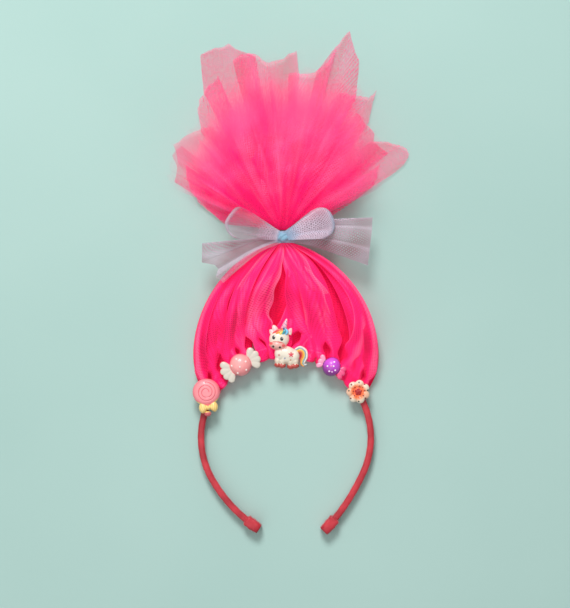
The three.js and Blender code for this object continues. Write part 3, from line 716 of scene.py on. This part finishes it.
def bowShape(corners, waist, heights, reaches, seed, pleats, look):
    chance = random.Random(seed)
    phase = chance.uniform(0, 6)
    soft = waist is None
    edge = [Vector(heading(angle)) * reach for angle, reach in corners]
    if soft:
        edge = rounded(edge, 3)
    else:
        narrow = [Vector(heading(angle)) * reach for angle, reach in waist]
    middle = Vector(heading((corners[0][0] + corners[-1][0]) / 2))
    side = Vector((middle.y, -middle.x)) * math.copysign(1, corners[-1][0] - corners[0][0])

    def shape(s, t):
        reach = along(reaches, t)
        swing = 2 * math.pi * pleats * s + phase
        over = blend(2.4, 0.4, min(reach, 1))
        u = min(max(s + over * math.sin(swing) / (2 * math.pi * pleats), 0), 1)
        end = along(edge, u)
        root = middle * bow["root"] + side * bow["rootHalf"] * (2 * u - 1)
        if soft:
            place = root.lerp(end, reach)
        else:
            waistAt = along(narrow, u)
            place = along(rounded([root, waistAt, waistAt.lerp(end, 0.5), end], 2), reach)
        z = along(heights, t) + 0.5 * (1 + math.cos(swing)) * (0.5 + 0.5 * reach)
        z += 1.3 * min(reach, 1) * crumple(place.x, place.y, seed, 13)
        hem = max(ease(abs(2 * s - 1), 0.94, 1.0), 0.0 if soft else 0.4 * ease(t, 0.97, 1.0))
        crease = 0.5 * ease(abs(math.cos(swing / 2 + 0.8)), 0.94, 1.0)
        # bend and hem feed fold, which paints the loop's far end and the edges lighter: a painted highlight
        bend = 0.9 * ease(reach, 0.93, 1.02) if soft else 0.0
        cloud = crumple(place.x, place.y, seed + 9, 16)
        tone = blend(0.95, look["tone"], ease(reach + 0.1 * cloud, 0.0, look["blue"]))
        tone += 0.3 * cloud * min(reach, 1)
        thin = look["thin"] * ease(reach, 0.2, 0.5) * (1 - max(hem, bend))
        if u < look["sheer"]:
            tone += 0.2
            thin = 0.35
        # the folded band is painted lighter, a painted sheen, and carries a fold line
        elif u < look["band"]:
            tone += 0.28
            crease = 0.3
        return spot(tieX + place.x, tieY + place.y, z), max(hem, crease, bend), tone, thin

    return shape


def makeBow():
    rootWide = 2 * bow["rootHalf"]
    for number, (side, loop) in enumerate(bowLoops.items()):
        low, depth = loop["low"], loop["depth"]
        heights = rounded([
            knotZ + 1.0, low, low + 0.2, low + 0.5, low + depth / 2, low + depth - 0.3, low + depth,
            low + depth - 1, knotZ + 4.0])
        reaches = rounded([0.0, 0.4, 0.8, 1.0, 1.04, 1.0, 0.8, 0.4, 0.0])
        shape = bowShape(loop["corners"], None, heights, reaches, 20 + number, 2, loop)
        piece = clothSheet(
            f"net_loop_{side}", bow["grid"], shape, bow["loopMap"], blueNet, "blue_net", f"bow_loop_{side}")
        length = bow["loopMap"][1]
        wide = edgeRun(loop["corners"])
        area = (wide + rootWide) / 2 * length
        declareCloth((wide, length), area)
    for number, (side, tail) in enumerate(bowTails.items()):
        rise = tail["rise"]
        heights = rounded([
            knotZ + 0.8, knotZ + 1.0 + 0.35 * rise, knotZ + 1.2 + rise, knotZ + 1.0 + 0.9 * rise])
        shape = bowShape(tail["corners"], tail["waist"], heights, [0.0, 1.0], 30 + number, 2.5, tail)
        piece = clothSheet(
            f"net_tail_{side}", bow["grid"], shape, bow["tailMap"], blueNet, "blue_net", f"bow_tail_{side}")
        length = bow["tailMap"][1]
        wide = edgeRun(tail["corners"])
        waist = edgeRun(tail["waist"])
        inner = (tail["waist"][0][1] + tail["waist"][1][1]) / 2
        area = (rootWide + waist) / 2 * inner + (waist + wide) / 2 * (length - inner)
        declareCloth((wide, length), area)

    # The wrap round the neck, in ridges, and the knot over it
    bm = bmesh.new()
    half = ((wrapHigh.x - wrapShade.x) / 2 / mm, (wrapHigh.z - wrapShade.z) / 2 / mm)
    length = (wrapHigh.y - wrapShade.y) / mm
    bmesh.ops.create_grid(bm, x_segments=72, y_segments=26, size=0.5)
    cloth = bm.loops.layers.uv.new("cloth")
    for face in bm.faces:
        for loop in face.loops:
            loop[cloth].uv = (loop.vert.co.x * bow["wrapMap"][0], loop.vert.co.y * bow["wrapMap"][1])
    for vert in bm.verts:
        turn = 2 * math.pi * (vert.co.x + 0.5)
        v = vert.co.y + 0.5
        ridge = 0.45 * abs(math.sin(math.pi * bow["ridges"] * v + 0.4 * math.sin(2 * turn)))
        ends = 0.5 * abs(2 * v - 1) ** 4
        grow = ridge - ends - 0.4
        x = (half[0] + grow) * math.copysign(abs(math.cos(turn)) ** 0.6, math.cos(turn))
        z = (half[1] + grow) * math.copysign(abs(math.sin(turn)) ** 0.6, math.sin(turn))
        y = tieY + length * (v - 0.5) * (1 + 0.1 * math.cos(turn))
        vert.co = spot(tieX + x, y, neckZ + z)
    bmesh.ops.remove_doubles(bm, verts=bm.verts[:], dist=0.00001)
    bmesh.ops.recalc_face_normals(bm, faces=bm.faces[:])
    piece = dress(bm, "net_wrap", knotNet, "knot_net", "bow_wrap")
    wrapSize = (1.5 * length, 5.2 * (half[0] + half[1]) / 2)
    wrapSize[0] * mm
    wrapSize[1] * mm

    bm = bmesh.new()
    cloth = bm.loops.layers.uv.new("cloth")
    bmesh.ops.create_uvsphere(bm, u_segments=48, v_segments=30, radius=1.0, calc_uvs=True)
    size = (knotHigh - knotLow) / mm
    for face in bm.faces:
        for loop in face.loops:
            loop[cloth].uv = (loop.vert.co.x * bow["knotMap"], loop.vert.co.y * bow["knotMap"])
    for vert in bm.verts:
        x, y, z = vert.co
        crease = 1 - 0.16 * abs(math.sin(2.6 * x - 2.9 * y + 1.2 * z)) ** 3
        boxy = 1 / max(abs(x) ** 3 + abs(y) ** 3, 0.35) ** 0.03
        vert.co = spot(
            tieX + x * crease * boxy * size.x / 2,
            tieY + y * crease * boxy * size.y / 2,
            knotZ + max(0.0, size.z * (0.42 + 0.56 * z * crease)))
    piece = dress(bm, "net_knot", knotNet, "knot_net", "bow_knot")


makeBow()
print("bow made")


# Charms: forms are fused, cut flat at the back, then painted by rule, with painted shade and light among the
# paint's own colours
def seatAt(place, turn):
    spin = Matrix.Rotation(math.radians(turn), 4, "Z")
    return Matrix.Translation(place) @ spin @ Matrix.Scale(mm, 4)


def castForm(name, voxel, fill, place, turn, shade, node, slot, passes=1):
    bm = bmesh.new()
    fill(bm)
    mesh = bpy.data.meshes.new(name)
    bm.to_mesh(mesh)
    bm.free()
    piece = bpy.data.objects.new(name, mesh)
    bpy.context.scene.collection.objects.link(piece)
    remesh = piece.modifiers.new("fuse", "REMESH")
    remesh.mode = "VOXEL"
    remesh.voxel_size = voxel
    settled(piece)
    bm = bmesh.new()
    bm.from_mesh(piece.data)
    bpy.data.objects.remove(piece)
    for _ in range(passes):
        bmesh.ops.smooth_vert(
            bm, verts=bm.verts[:], factor=0.5, use_axis_x=True, use_axis_y=True, use_axis_z=True)
    whole = bm.verts[:] + bm.edges[:] + bm.faces[:]
    cut = bmesh.ops.bisect_plane(
        bm, geom=whole, plane_co=(0, 0, 0), plane_no=(0, 0, -1), clear_outer=True)
    rim = [g for g in cut["geom_cut"] if isinstance(g, bmesh.types.BMEdge)]
    bmesh.ops.contextual_create(bm, geom=rim)
    paint = bm.verts.layers.float_color.new("paint")
    for vert in bm.verts:
        colour = shade(vert.co.x, vert.co.y, vert.co.z)
        vert[paint] = rgb(*colour)
    bmesh.ops.triangulate(bm, faces=[f for f in bm.faces if len(f.verts) > 4])
    bmesh.ops.transform(bm, matrix=seatAt(place, turn), verts=bm.verts[:])
    return dress(bm, name, resin, slot, *([node] if node else []))


def lump(bm, x, y, z, sizes, turn=0.0, segments=28):
    made = bmesh.ops.create_uvsphere(bm, u_segments=segments, v_segments=segments // 2, radius=1.0)["verts"]
    bmesh.ops.scale(bm, vec=sizes, verts=made)
    bmesh.ops.rotate(bm, cent=(0, 0, 0), matrix=Matrix.Rotation(math.radians(turn), 3, "Z"), verts=made)
    bmesh.ops.translate(bm, vec=(x, y, z), verts=made)
    return made


def snake(bm, points, radii, flatness=1.0, sides=14, samples=6):
    # A tapering round strand through points, closed at both ends
    path = []
    for i in range(len(points) - 1):
        p0, p1 = points[max(i - 1, 0)], points[i]
        p2, p3 = points[i + 1], points[min(i + 2, len(points) - 1)]
        for k in range(samples):
            t = k / samples
            place = [
                0.5 * (2 * b + (c - a) * t + (2 * a - 5 * b + 4 * c - d) * t * t
                       + (3 * b - 3 * c + d - a) * t ** 3)
                for a, b, c, d in zip(p0, p1, p2, p3)]
            path.append((Vector(place), blend(radii[i], radii[i + 1], t)))
    path.append((Vector(points[-1]), radii[-1]))
    rings = []
    for k, (place, radius) in enumerate(path):
        way = path[min(k + 1, len(path) - 1)][0] - path[max(k - 1, 0)][0]
        side = way.cross(Vector((0, 0, 1))).normalized()
        up = side.cross(way).normalized()
        ring = []
        for j in range(sides):
            turn = 2 * math.pi * j / sides
            ring.append(place + side * radius * math.cos(turn) + up * radius * flatness * math.sin(turn))
        rings.append(ring)
    sweepRings(bm, rings)


def inOval(x, y, centre, sizes, turn=0.0):
    c, s = math.cos(math.radians(turn)), math.sin(math.radians(turn))
    dx, dy = x - centre[0], y - centre[1]
    return ((dx * c + dy * s) / sizes[0]) ** 2 + ((dy * c - dx * s) / sizes[1]) ** 2 < 1


def mixed(a, b, share):
    share = min(max(share, 0), 1)
    return tuple(blend(p, q, share) for p, q in zip(a, b))


# Lollipop
lolly = {"radius": 9.8, "turns": 2.25, "inner": 2.0, "outer": 7.2, "groove": 0.42, "turn": 8}
lolly["bottom"] = -1.12 * lolly["radius"]


def lollyGroove(x, y):
    # How deep in the spiral groove a place is, from 0 to 1
    reach = math.hypot(x, y)
    start = math.atan2(y, x) / (2 * math.pi)
    pitch = (lolly["outer"] - lolly["inner"]) / lolly["turns"]
    best = 9.0
    for lap in range(-1, 4):
        share = start + lap
        if -0.02 <= share <= lolly["turns"]:
            best = min(best, abs(reach - lolly["inner"] - pitch * share))
    return 1 - ease(best, 0.0, lolly["groove"])


def makeLollipop():
    centre = spot(-56.5, 32.6, charmBack)
    bottom = lolly["bottom"]

    def fill(bm):
        made = lump(bm, 0, 0, 1.2, (lolly["radius"], lolly["radius"] * 0.97, 4.4), 0, 96)
        for vert in made:
            reach = math.hypot(vert.co.x, vert.co.y) / lolly["radius"]
            if vert.co.z > 1.2:
                vert.co.z = 1.2 + 4.3 * max(0.0, 1 - reach ** 3.2) ** 0.5
        for side in (-1, 1):
            lobe = lump(bm, 3.5 * side, bottom + 0.2, 1.6, (3.3, 3.7, 2.9), 12 * side, 32)
            for vert in lobe:
                pinch = ease(abs(vert.co.x), 0.0, 4.5)
                vert.co.y = bottom + (vert.co.y - bottom) * (0.5 + 0.6 * pinch)
        lump(bm, 0, bottom, 1.8, (1.7, 1.9, 3.2), 0, 24)
        lump(bm, -1.0, bottom - 4.4, 1.0, (2.5, 2.0, 2.4), 0, 24)

    def shade(x, y, z):
        if y < bottom - 3.4 and abs(x + 1.0) < 2.7:
            return (206, 92, 98)
        if y < bottom + 1.2 + 0.42 * abs(x) ** 1.15 and math.hypot(x, y) > 7.6:
            # painted light and shade in stripes across the yellow bows, for their pleats
            crease = abs(math.sin(2.1 * abs(x) - 0.5 * (y - bottom)))
            return mixed((238, 182, 84), (255, 224, 142), 0.35 + 0.65 * crease)
        groove = lollyGroove(x, y)
        # painted shade: the dome darkens towards its falling edge
        rim = ease(math.hypot(x, y), 7.4, 9.8)
        pink = mixed((255, 148, 156), (246, 104, 122), 0.6 * rim)
        return mixed(pink, (214, 84, 100), 0.8 * groove)

    piece = castForm("lollipop", 0.26, fill, centre, lolly["turn"], shade, "lollipop_charm", "lollipop_resin")
    seat = seatAt(centre, lolly["turn"])
    back = seat.inverted()
    for vert in piece.data.vertices:
        place = back @ vert.co
        if place.z > 2.5 and math.hypot(place.x, place.y) < 8.6:
            place.z -= 0.5 * lollyGroove(place.x, place.y)
            vert.co = seat @ place


# Wrapped sweets: a ball, and at each end a fan of three lobes from a narrow neck
def makeCandy(name, node, slot, spec):
    halfX, halfY = spec["half"]

    def fill(bm):
        lump(bm, 0, 0, spec["depth"] * 0.16, (halfX, halfY, spec["depth"] * 0.84), 0, 48)
        for tipX, tipY in spec["tips"]:
            start = Vector((math.copysign(halfX * 0.86, tipX), tipY * 0.16))
            way = Vector((tipX, tipY)) - start
            made = lump(bm, 0, 0, 0, (spec["lobe"], way.length / 2, 1.0), 0, 28)
            for vert in made:
                share = 2 * vert.co.y / way.length
                vert.co.x *= 0.82 + 0.34 * share
                vert.co.z = math.copysign(1.7 * math.sqrt(abs(vert.co.z)), vert.co.z)
            spin = Matrix.Rotation(math.atan2(-way.x, way.y), 3, "Z")
            bmesh.ops.rotate(bm, cent=(0, 0, 0), matrix=spin, verts=made)
            centre = start + way / 2
            bmesh.ops.translate(bm, vec=(centre.x, centre.y, 1.5), verts=made)
        for x, y, colour in spec["dots"]:
            rise = math.sqrt(max(0.0, 1 - (x / halfX) ** 2 - (y / halfY) ** 2))
            lump(bm, x, y, spec["depth"] * (0.16 + 0.84 * rise), (spec["dot"], spec["dot"], 0.45), 0, 16)

    def shade(x, y, z):
        for dx, dy, colour in spec["dots"]:
            if math.hypot(x - dx, y - dy) < spec["dot"] and z > 1.5:
                return colour
        ballShare = (x / halfX) ** 2 + (y / halfY) ** 2
        if ballShare < 1.05:
            # painted shade: the ball darkens on its lower side, away from the light, and at its rim
            low = mixed(spec["ball"], spec["ballShadedLow"], ease(-y / halfY, -0.3, 1.0))
            return mixed(low, spec["ballShadedRim"], ease(ballShare, 0.75, 1.05))
        valley = 1.0
        for tipX, tipY in spec["tips"]:
            start = Vector((math.copysign(halfX * 0.86, tipX), tipY * 0.16))
            way = (Vector((tipX, tipY)) - start).normalized()
            off = Vector((x, y)) - start
            if off.dot(way) > 0:
                valley = min(valley, abs(off.x * way.y - off.y * way.x) / spec["lobe"])
        wrap = spec["wrap"] if x < 0 else spec["wrapFar"]
        # painted shade: the wrapper darkens in the valleys between lobes and low down by the base
        return mixed(wrap, spec["wrapShade"], 0.75 * ease(valley, 0.55, 1.1) + 0.3 * ease(1.2 - z, 0, 1.2))

    castForm(name, 0.24, fill, spot(*spec["centre"], charmBack), spec["turn"], shade, node, slot)


pinkCandy = {
    "centre": (-32.2, 51.9), "half": (7.6, 8.0), "depth": 7.4, "turn": 31, "lobe": 3.0, "dot": 0.7,
    "tips": [(12.8, 6.6), (15.2, 1.6), (14.6, -3.4), (11.6, -8.0),
             (-12.2, 8.0), (-15.2, 2.6), (-15.0, -2.6), (-12.4, -7.4)],
    "dots": [(-0.3, 5.3, (255, 232, 226)), (-5.7, 2.7, (255, 232, 226)), (-1.1, -1.0, (255, 224, 218)),
             (1.8, -5.1, (255, 232, 226)), (-4.6, -3.9, (255, 228, 222)), (4.6, 0.2, (255, 232, 226))],
    "ball": (250, 168, 166), "ballShadedLow": (246, 144, 148), "ballShadedRim": (234, 122, 130),
    "wrap": (214, 206, 192), "wrapFar": (214, 206, 192), "wrapShade": (162, 150, 140),
}
purpleCandy = {
    "centre": (32.3, 50.6), "half": (6.3, 7.0), "depth": 6.8, "turn": -29, "lobe": 2.1, "dot": 0.62,
    "tips": [(-10.4, 4.0), (-10.6, -0.4), (-9.9, -4.8), (9.9, 3.8), (11.0, -0.4), (10.0, -4.8)],
    "dots": [(0.0, 4.0, (255, 246, 255)), (-2.9, -1.0, (255, 236, 252)), (-0.5, 0.3, (255, 150, 205)),
             (1.0, 1.1, (255, 240, 255)), (3.4, -0.9, (255, 236, 252)), (0.0, -3.6, (250, 220, 245)),
             (2.0, -3.0, (240, 190, 232))],
    "ball": (206, 78, 220), "ballShadedLow": (134, 32, 136), "ballShadedRim": (106, 26, 106),
    "wrap": (246, 156, 188), "wrapFar": (244, 74, 132), "wrapShade": (196, 54, 104),
}

# Flower
flower = {"petals": 7, "petal": 3.15, "reach": 5.4, "turn": 10}
flowerDots = [
    (0.6, 7.3), (4.9, 5.9), (7.5, 1.2), (5.6, -4.9), (0.4, -7.4), (-5.8, -5.0), (-7.2, 0.9), (-5.2, 5.6)]


def makeFlower():
    def fill(bm):
        lump(bm, 0, 0, 0.6, (5.4, 5.4, 1.9), 0, 32)
        for k in range(flower["petals"]):
            x, y = heading(360 * k / flower["petals"] + flower["turn"])
            sizes = (flower["petal"], flower["petal"], 2.3)
            lump(bm, x * flower["reach"], y * flower["reach"], 0.8, sizes, 0, 24)
        for k in range(5):
            x, y = heading(72 * k)
            lump(bm, x * 1.35, y * 1.35, 2.2, (1.15, 1.15, 1.1), 0, 16)
        lump(bm, 0, 0, 2.4, (1.0, 1.0, 1.3), 0, 16)

    def shade(x, y, z):
        reach = math.hypot(x, y)
        if z > 1.4:
            for k, (dx, dy) in enumerate(flowerDots):
                if math.hypot(x - dx * 0.92, y - dy * 0.92) < 0.62:
                    return (46, 52, 38) if k % 2 == 0 else (122, 30, 44)
                if math.hypot(x - dx * 0.55 - 0.5, y - dy * 0.55) < 0.5:
                    return (150, 40, 46)
        if reach < 2.6 and z > 2.0:
            lobe = math.cos(5 * math.atan2(x, y))
            return (176, 0, 16) if reach < 2.2 + 0.4 * lobe else (240, 84, 52)
        glow = 1 - ease(reach, 3.0, 6.6)
        patch = ease(crumple(x, y, 4, 4.5), -0.1, 0.5)
        pale = mixed((240, 210, 182), (236, 226, 206), ease(reach, 5.0, 8.4))
        return mixed(pale, (246, 112, 58), min(1.0, 0.95 * glow + 0.3 * patch))

    castForm("flower", 0.24, fill, spot(51.2, 32.8, charmBack), 0, shade, "flower_charm", "flower_resin")


makeLollipop()
makeCandy("pink_sweet", "pink_candy_charm", "pink_candy_resin", pinkCandy)
makeCandy("purple_sweet", "purple_candy_charm", "purple_candy_resin", purpleCandy)
makeFlower()
print("sweets and flower made")

# Unicorn, a plain toy shape, in millimetres from the middle of its body
unicorn = {"centre": (0.6, 58.8), "cream": (236, 226, 208), "shadow": (200, 174, 148)}
hoovesAt = [(-6.4, -6.9, 2.4, 2.0), (-3.2, -7.4, 2.4, 2.0), (2.8, -8.0, 2.6, 2.2), (6.0, -7.4, 2.6, 2.2)]


def makeUnicorn():
    def fill(bm):
        lump(bm, 0.2, 1.0, 2.0, (7.6, 5.3, 4.2), -20, 40)
        lump(bm, 0.4, -2.0, 1.8, (7.8, 4.4, 3.6), -5, 32)
        lump(bm, 5.2, -0.6, 1.8, (4.0, 4.8, 3.8), 0, 32)
        lump(bm, -4.6, 1.2, 2.0, (4.2, 5.4, 4.0), 0, 32)
        lump(bm, -5.4, 11.6, 2.2, (7.2, 6.4, 4.4), 8, 48)
        lump(bm, -6.4, 7.2, 2.8, (6.3, 3.7, 4.3), -8, 40)
        for x, y, wide, tall in hoovesAt:
            lump(bm, x, y + 3.0, 1.8, (wide, 3.4, 3.2), 0, 24)
            lump(bm, x, y, 1.8, (wide * 1.08, tall, 3.3), 0, 24)
        snake(bm, [(1.2, 14.8, 2.4), (2.4, 17.4, 2.2), (3.3, 19.2, 2.0)], [2.2, 1.7, 0.5], 0.7)
        snake(bm, [(-7.6, 16.6, 2.4), (-9.0, 19.8, 2.4), (-9.6, 21.4, 2.2)], [2.6, 1.8, 0.5], 0.8)
        snake(bm, [(-9.4, 14.8, 2.4), (-11.2, 17.0, 2.2), (-12.2, 18.2, 2.0)], [2.2, 1.6, 0.4], 0.8)

    def shade(x, y, z):
        for side in ((-9.3, 12.6), (-3.6, 11.6)):
            if inOval(x, y, side, (1.1, 1.4)):
                lit = inOval(x, y, (side[0] + 0.35, side[1] + 0.6), (0.3, 0.35))
                return (235, 235, 235) if lit else (16, 12, 18)
        for side in ((-9.6, 6.2), (-4.9, 5.6)):
            if inOval(x, y, side, (0.75, 0.8)):
                return (36, 12, 20)
        for side in ((-11.2, 8.4), (-2.4, 6.8)):
            if inOval(x, y, side, (1.2, 1.0)):
                return (232, 96, 96)
        if y > 2.6 and inOval(x, y, (-6.4, 6.6), (6.6, 3.3), -8):
            lip = y > 9.0 - 0.14 * (x + 6.4)
            return (222, 104, 100) if lip else (232, 172, 162)
        if y > 16.0 and (x < -6.0 or x > 0.8):
            return mixed((244, 192, 196), (238, 222, 214), ease(y, 17.0, 21.0))
        star = math.hypot(x - 3.0, y - 0.4)
        if star < 1.5 + 0.55 * math.cos(5 * math.atan2(x - 3.0, y - 0.4)) and z > 2:
            return (226, 74, 92)
        if inOval(x, y, (-5.5, 0.1), (0.9, 0.85)) and z > 2:
            return (206, 150, 140)
        if inOval(x, y, (-1.4, -2.2), (0.7, 0.65)) and z > 2:
            return (150, 150, 168)
        if inOval(x, y, (2.7, -3.4), (0.7, 0.6)) and z > 2:
            return (190, 140, 116)
        for hx, hy, wide, tall in hoovesAt:
            if abs(x - hx) < wide * 1.1 and y < hy + 1.0 + 0.3 * math.sin(3 * x):
                return (192, 70, 60)
        shaded = ease(-y, 1.0, 7.0) * 0.5 + 0.4 * ease(1.6 - z, 0, 1.4)
        return mixed(unicorn["cream"], unicorn["shadow"], shaded)

    centre = spot(*unicorn["centre"], charmBack)
    castForm("unicorn_body", 0.26, fill, centre, 0, shade, "unicorn_charm", "unicorn_resin", 6)

    def strand(name, points, radii, colourAt, flatness=0.75):
        def fillStrand(bm):
            snake(bm, points, radii, flatness)
        castForm(name, 0.22, fillStrand, centre, 0, colourAt, None, "unicorn_resin")

    # Horn, with turned stripes
    def hornShade(x, y, z):
        run = (x + 1.9) * 0.35 + (y - 19.0) * 0.94
        stripe = math.sin(run * 3.1 + 0.9 * (x * 0.94 - y * 0.35))
        return (160, 150, 178) if stripe > 0.55 else (255, 168, 190)

    horn = [(-2.4, 18.0, 3.2), (-1.2, 22.2, 3.2), (0.0, 25.9, 3.0)]
    strand("unicorn_horn", horn, [2.4, 1.6, 0.45], hornShade, 0.9)

    locks = [
        ("red", [(-2.3, 18.6, 4.6), (-6.3, 17.4, 5.0), (-10.2, 15.2, 3.9)], [0.8, 1.1, 0.5], (232, 62, 60)),
        ("orange", [(-2.6, 17.9, 5.0), (-5.7, 16.2, 5.5), (-8.3, 14.4, 4.9)], [0.8, 1.0, 0.5], (250, 140, 50)),
        ("yellow", [(-2.9, 17.2, 5.2), (-4.4, 15.5, 5.8), (-5.3, 13.8, 5.6)], [0.7, 0.9, 0.4], (252, 214, 84)),
        ("teal", [(-1.7, 18.9, 4.8), (-1.9, 16.7, 5.5), (-3.2, 14.7, 5.5)], [0.8, 1.1, 0.5], (36, 150, 160)),
        ("blue", [(-1.1, 18.5, 4.8), (0.3, 16.7, 5.0), (-1.0, 14.4, 5.0)], [0.8, 1.1, 0.5], (112, 196, 236)),
        ("navy", [(-2.4, 19.6, 4.8), (-2.1, 18.4, 5.4), (-2.0, 17.4, 5.4)], [0.5, 0.7, 0.4], (30, 60, 130)),
    ]
    for name, points, radii, colour in locks:
        def lockShade(x, y, z, c=colour):
            # painted light: each lock is lighter higher up
            return mixed(c, (255, 255, 255), 0.12 * ease(z, 3, 7))
        strand(f"unicorn_mane_{name}", points, radii, lockShade)

    # Tail: bands side by side along one curve
    tailWay = [
        (6.6, 2.4), (9.4, 3.9), (11.7, 2.4), (12.2, -0.8), (10.8, -3.8), (10.6, -6.4), (12.4, -7.8),
        (14.4, -6.9)]
    bands = [
        ("white", 1.95, (236, 228, 218)), ("grey", 1.0, (140, 168, 180)), ("yellow", 0.1, (246, 200, 84)),
        ("orange", -0.8, (238, 138, 58)), ("red", -1.7, (206, 62, 48)),
    ]
    for number, (name, offset, colour) in enumerate(bands):
        points = []
        radii = []
        last = len(tailWay) - 1 - number // 2
        for k in range(last + 1):
            x, y = tailWay[k]
            x0, y0 = tailWay[max(k - 1, 0)]
            x1, y1 = tailWay[min(k + 1, len(tailWay) - 1)]
            run = math.hypot(x1 - x0, y1 - y0)
            share = k / last
            slim = 1 - 0.65 * ease(share, 0.6, 1.0)
            shift = offset * slim
            points.append((x - (y1 - y0) / run * shift, y + (x1 - x0) / run * shift, 2.0 + 0.4 * slim))
            radii.append((0.5 + 0.35 * math.sin(math.pi * min(share * 1.4, 1))) * (0.5 + 0.6 * slim))
        strand(f"unicorn_tail_{name}", points, radii, lambda x, y, z, c=colour: c, 1.7)


makeUnicorn()
print("unicorn made")


# Floor, light and camera
def makeStudio():
    f = Finish("pale_floor")
    place = f.objectPlace()
    cloud = f.cloudy(place, 3.0).step(0.2, 0.8)
    weave = f.cloudy(place, 700.0, 2.0)
    colour = f.mix(cloud, rgb(164, 197, 190), rgb(174, 205, 198))
    material = f.surface({"Base Color": colour, "Roughness": 0.9, "Normal": f.bump(weave, 0.1, 0.0003)})
    bm = bmesh.new()
    bmesh.ops.create_grid(bm, x_segments=2, y_segments=2, size=3.0)
    mesh = bpy.data.meshes.new("floor")
    bm.to_mesh(mesh)
    bm.free()
    floor = bpy.data.objects.new("floor", mesh)
    mesh.materials.append(material)
    bpy.context.scene.collection.objects.link(floor)

    lamps = [
        {"name": "key", "at": (-0.2, 1.15, 1.35), "size": 0.6, "power": 27.0},
        {"name": "fill", "at": (-0.6, -0.8, 1.2), "size": 1.4, "power": 5.5},
        {"name": "over", "at": (0.0, 0.0, 1.8), "size": 1.6, "power": 5.0},
    ]
    for lamp in lamps:
        light = bpy.data.lights.new(lamp["name"], "AREA")
        light.size = lamp["size"]
        light.energy = lamp["power"]
        holder = bpy.data.objects.new(lamp["name"], light)
        holder.location = lamp["at"]
        holder.rotation_euler = (-Vector(lamp["at"])).to_track_quat("-Z", "Y").to_euler()
        bpy.context.scene.collection.objects.link(holder)
    world = bpy.data.worlds.new("studio")
    world.use_nodes = True
    world.node_tree.nodes["Background"].inputs[0].default_value = (1.0, 1.0, 1.0, 1.0)
    world.node_tree.nodes["Background"].inputs[1].default_value = 0.27
    bpy.context.scene.world = world
    bpy.context.scene.view_settings.view_transform = "Standard"
    bpy.context.scene.cycles.transparent_max_bounces = 64


# The photograph is taken from straight above, 0.712 mm to a pixel
shot = {"height": 1.5, "wide": 0.4058, "middle": (-0.7, 95.05), "plane": 0.006}


def makeCamera():
    lens = bpy.data.cameras.new("camera")
    lens.sensor_fit = "HORIZONTAL"
    lens.sensor_width = 36.0
    lens.lens = 36.0 * shot["height"] / shot["wide"]
    camera = bpy.data.objects.new("camera", lens)
    camera.location = spot(*shot["middle"], 0) + Vector((0, 0, shot["height"] + shot["plane"]))
    bpy.context.scene.collection.objects.link(camera)
    bpy.context.scene.camera = camera


makeStudio()
makeCamera()
print("studio made")
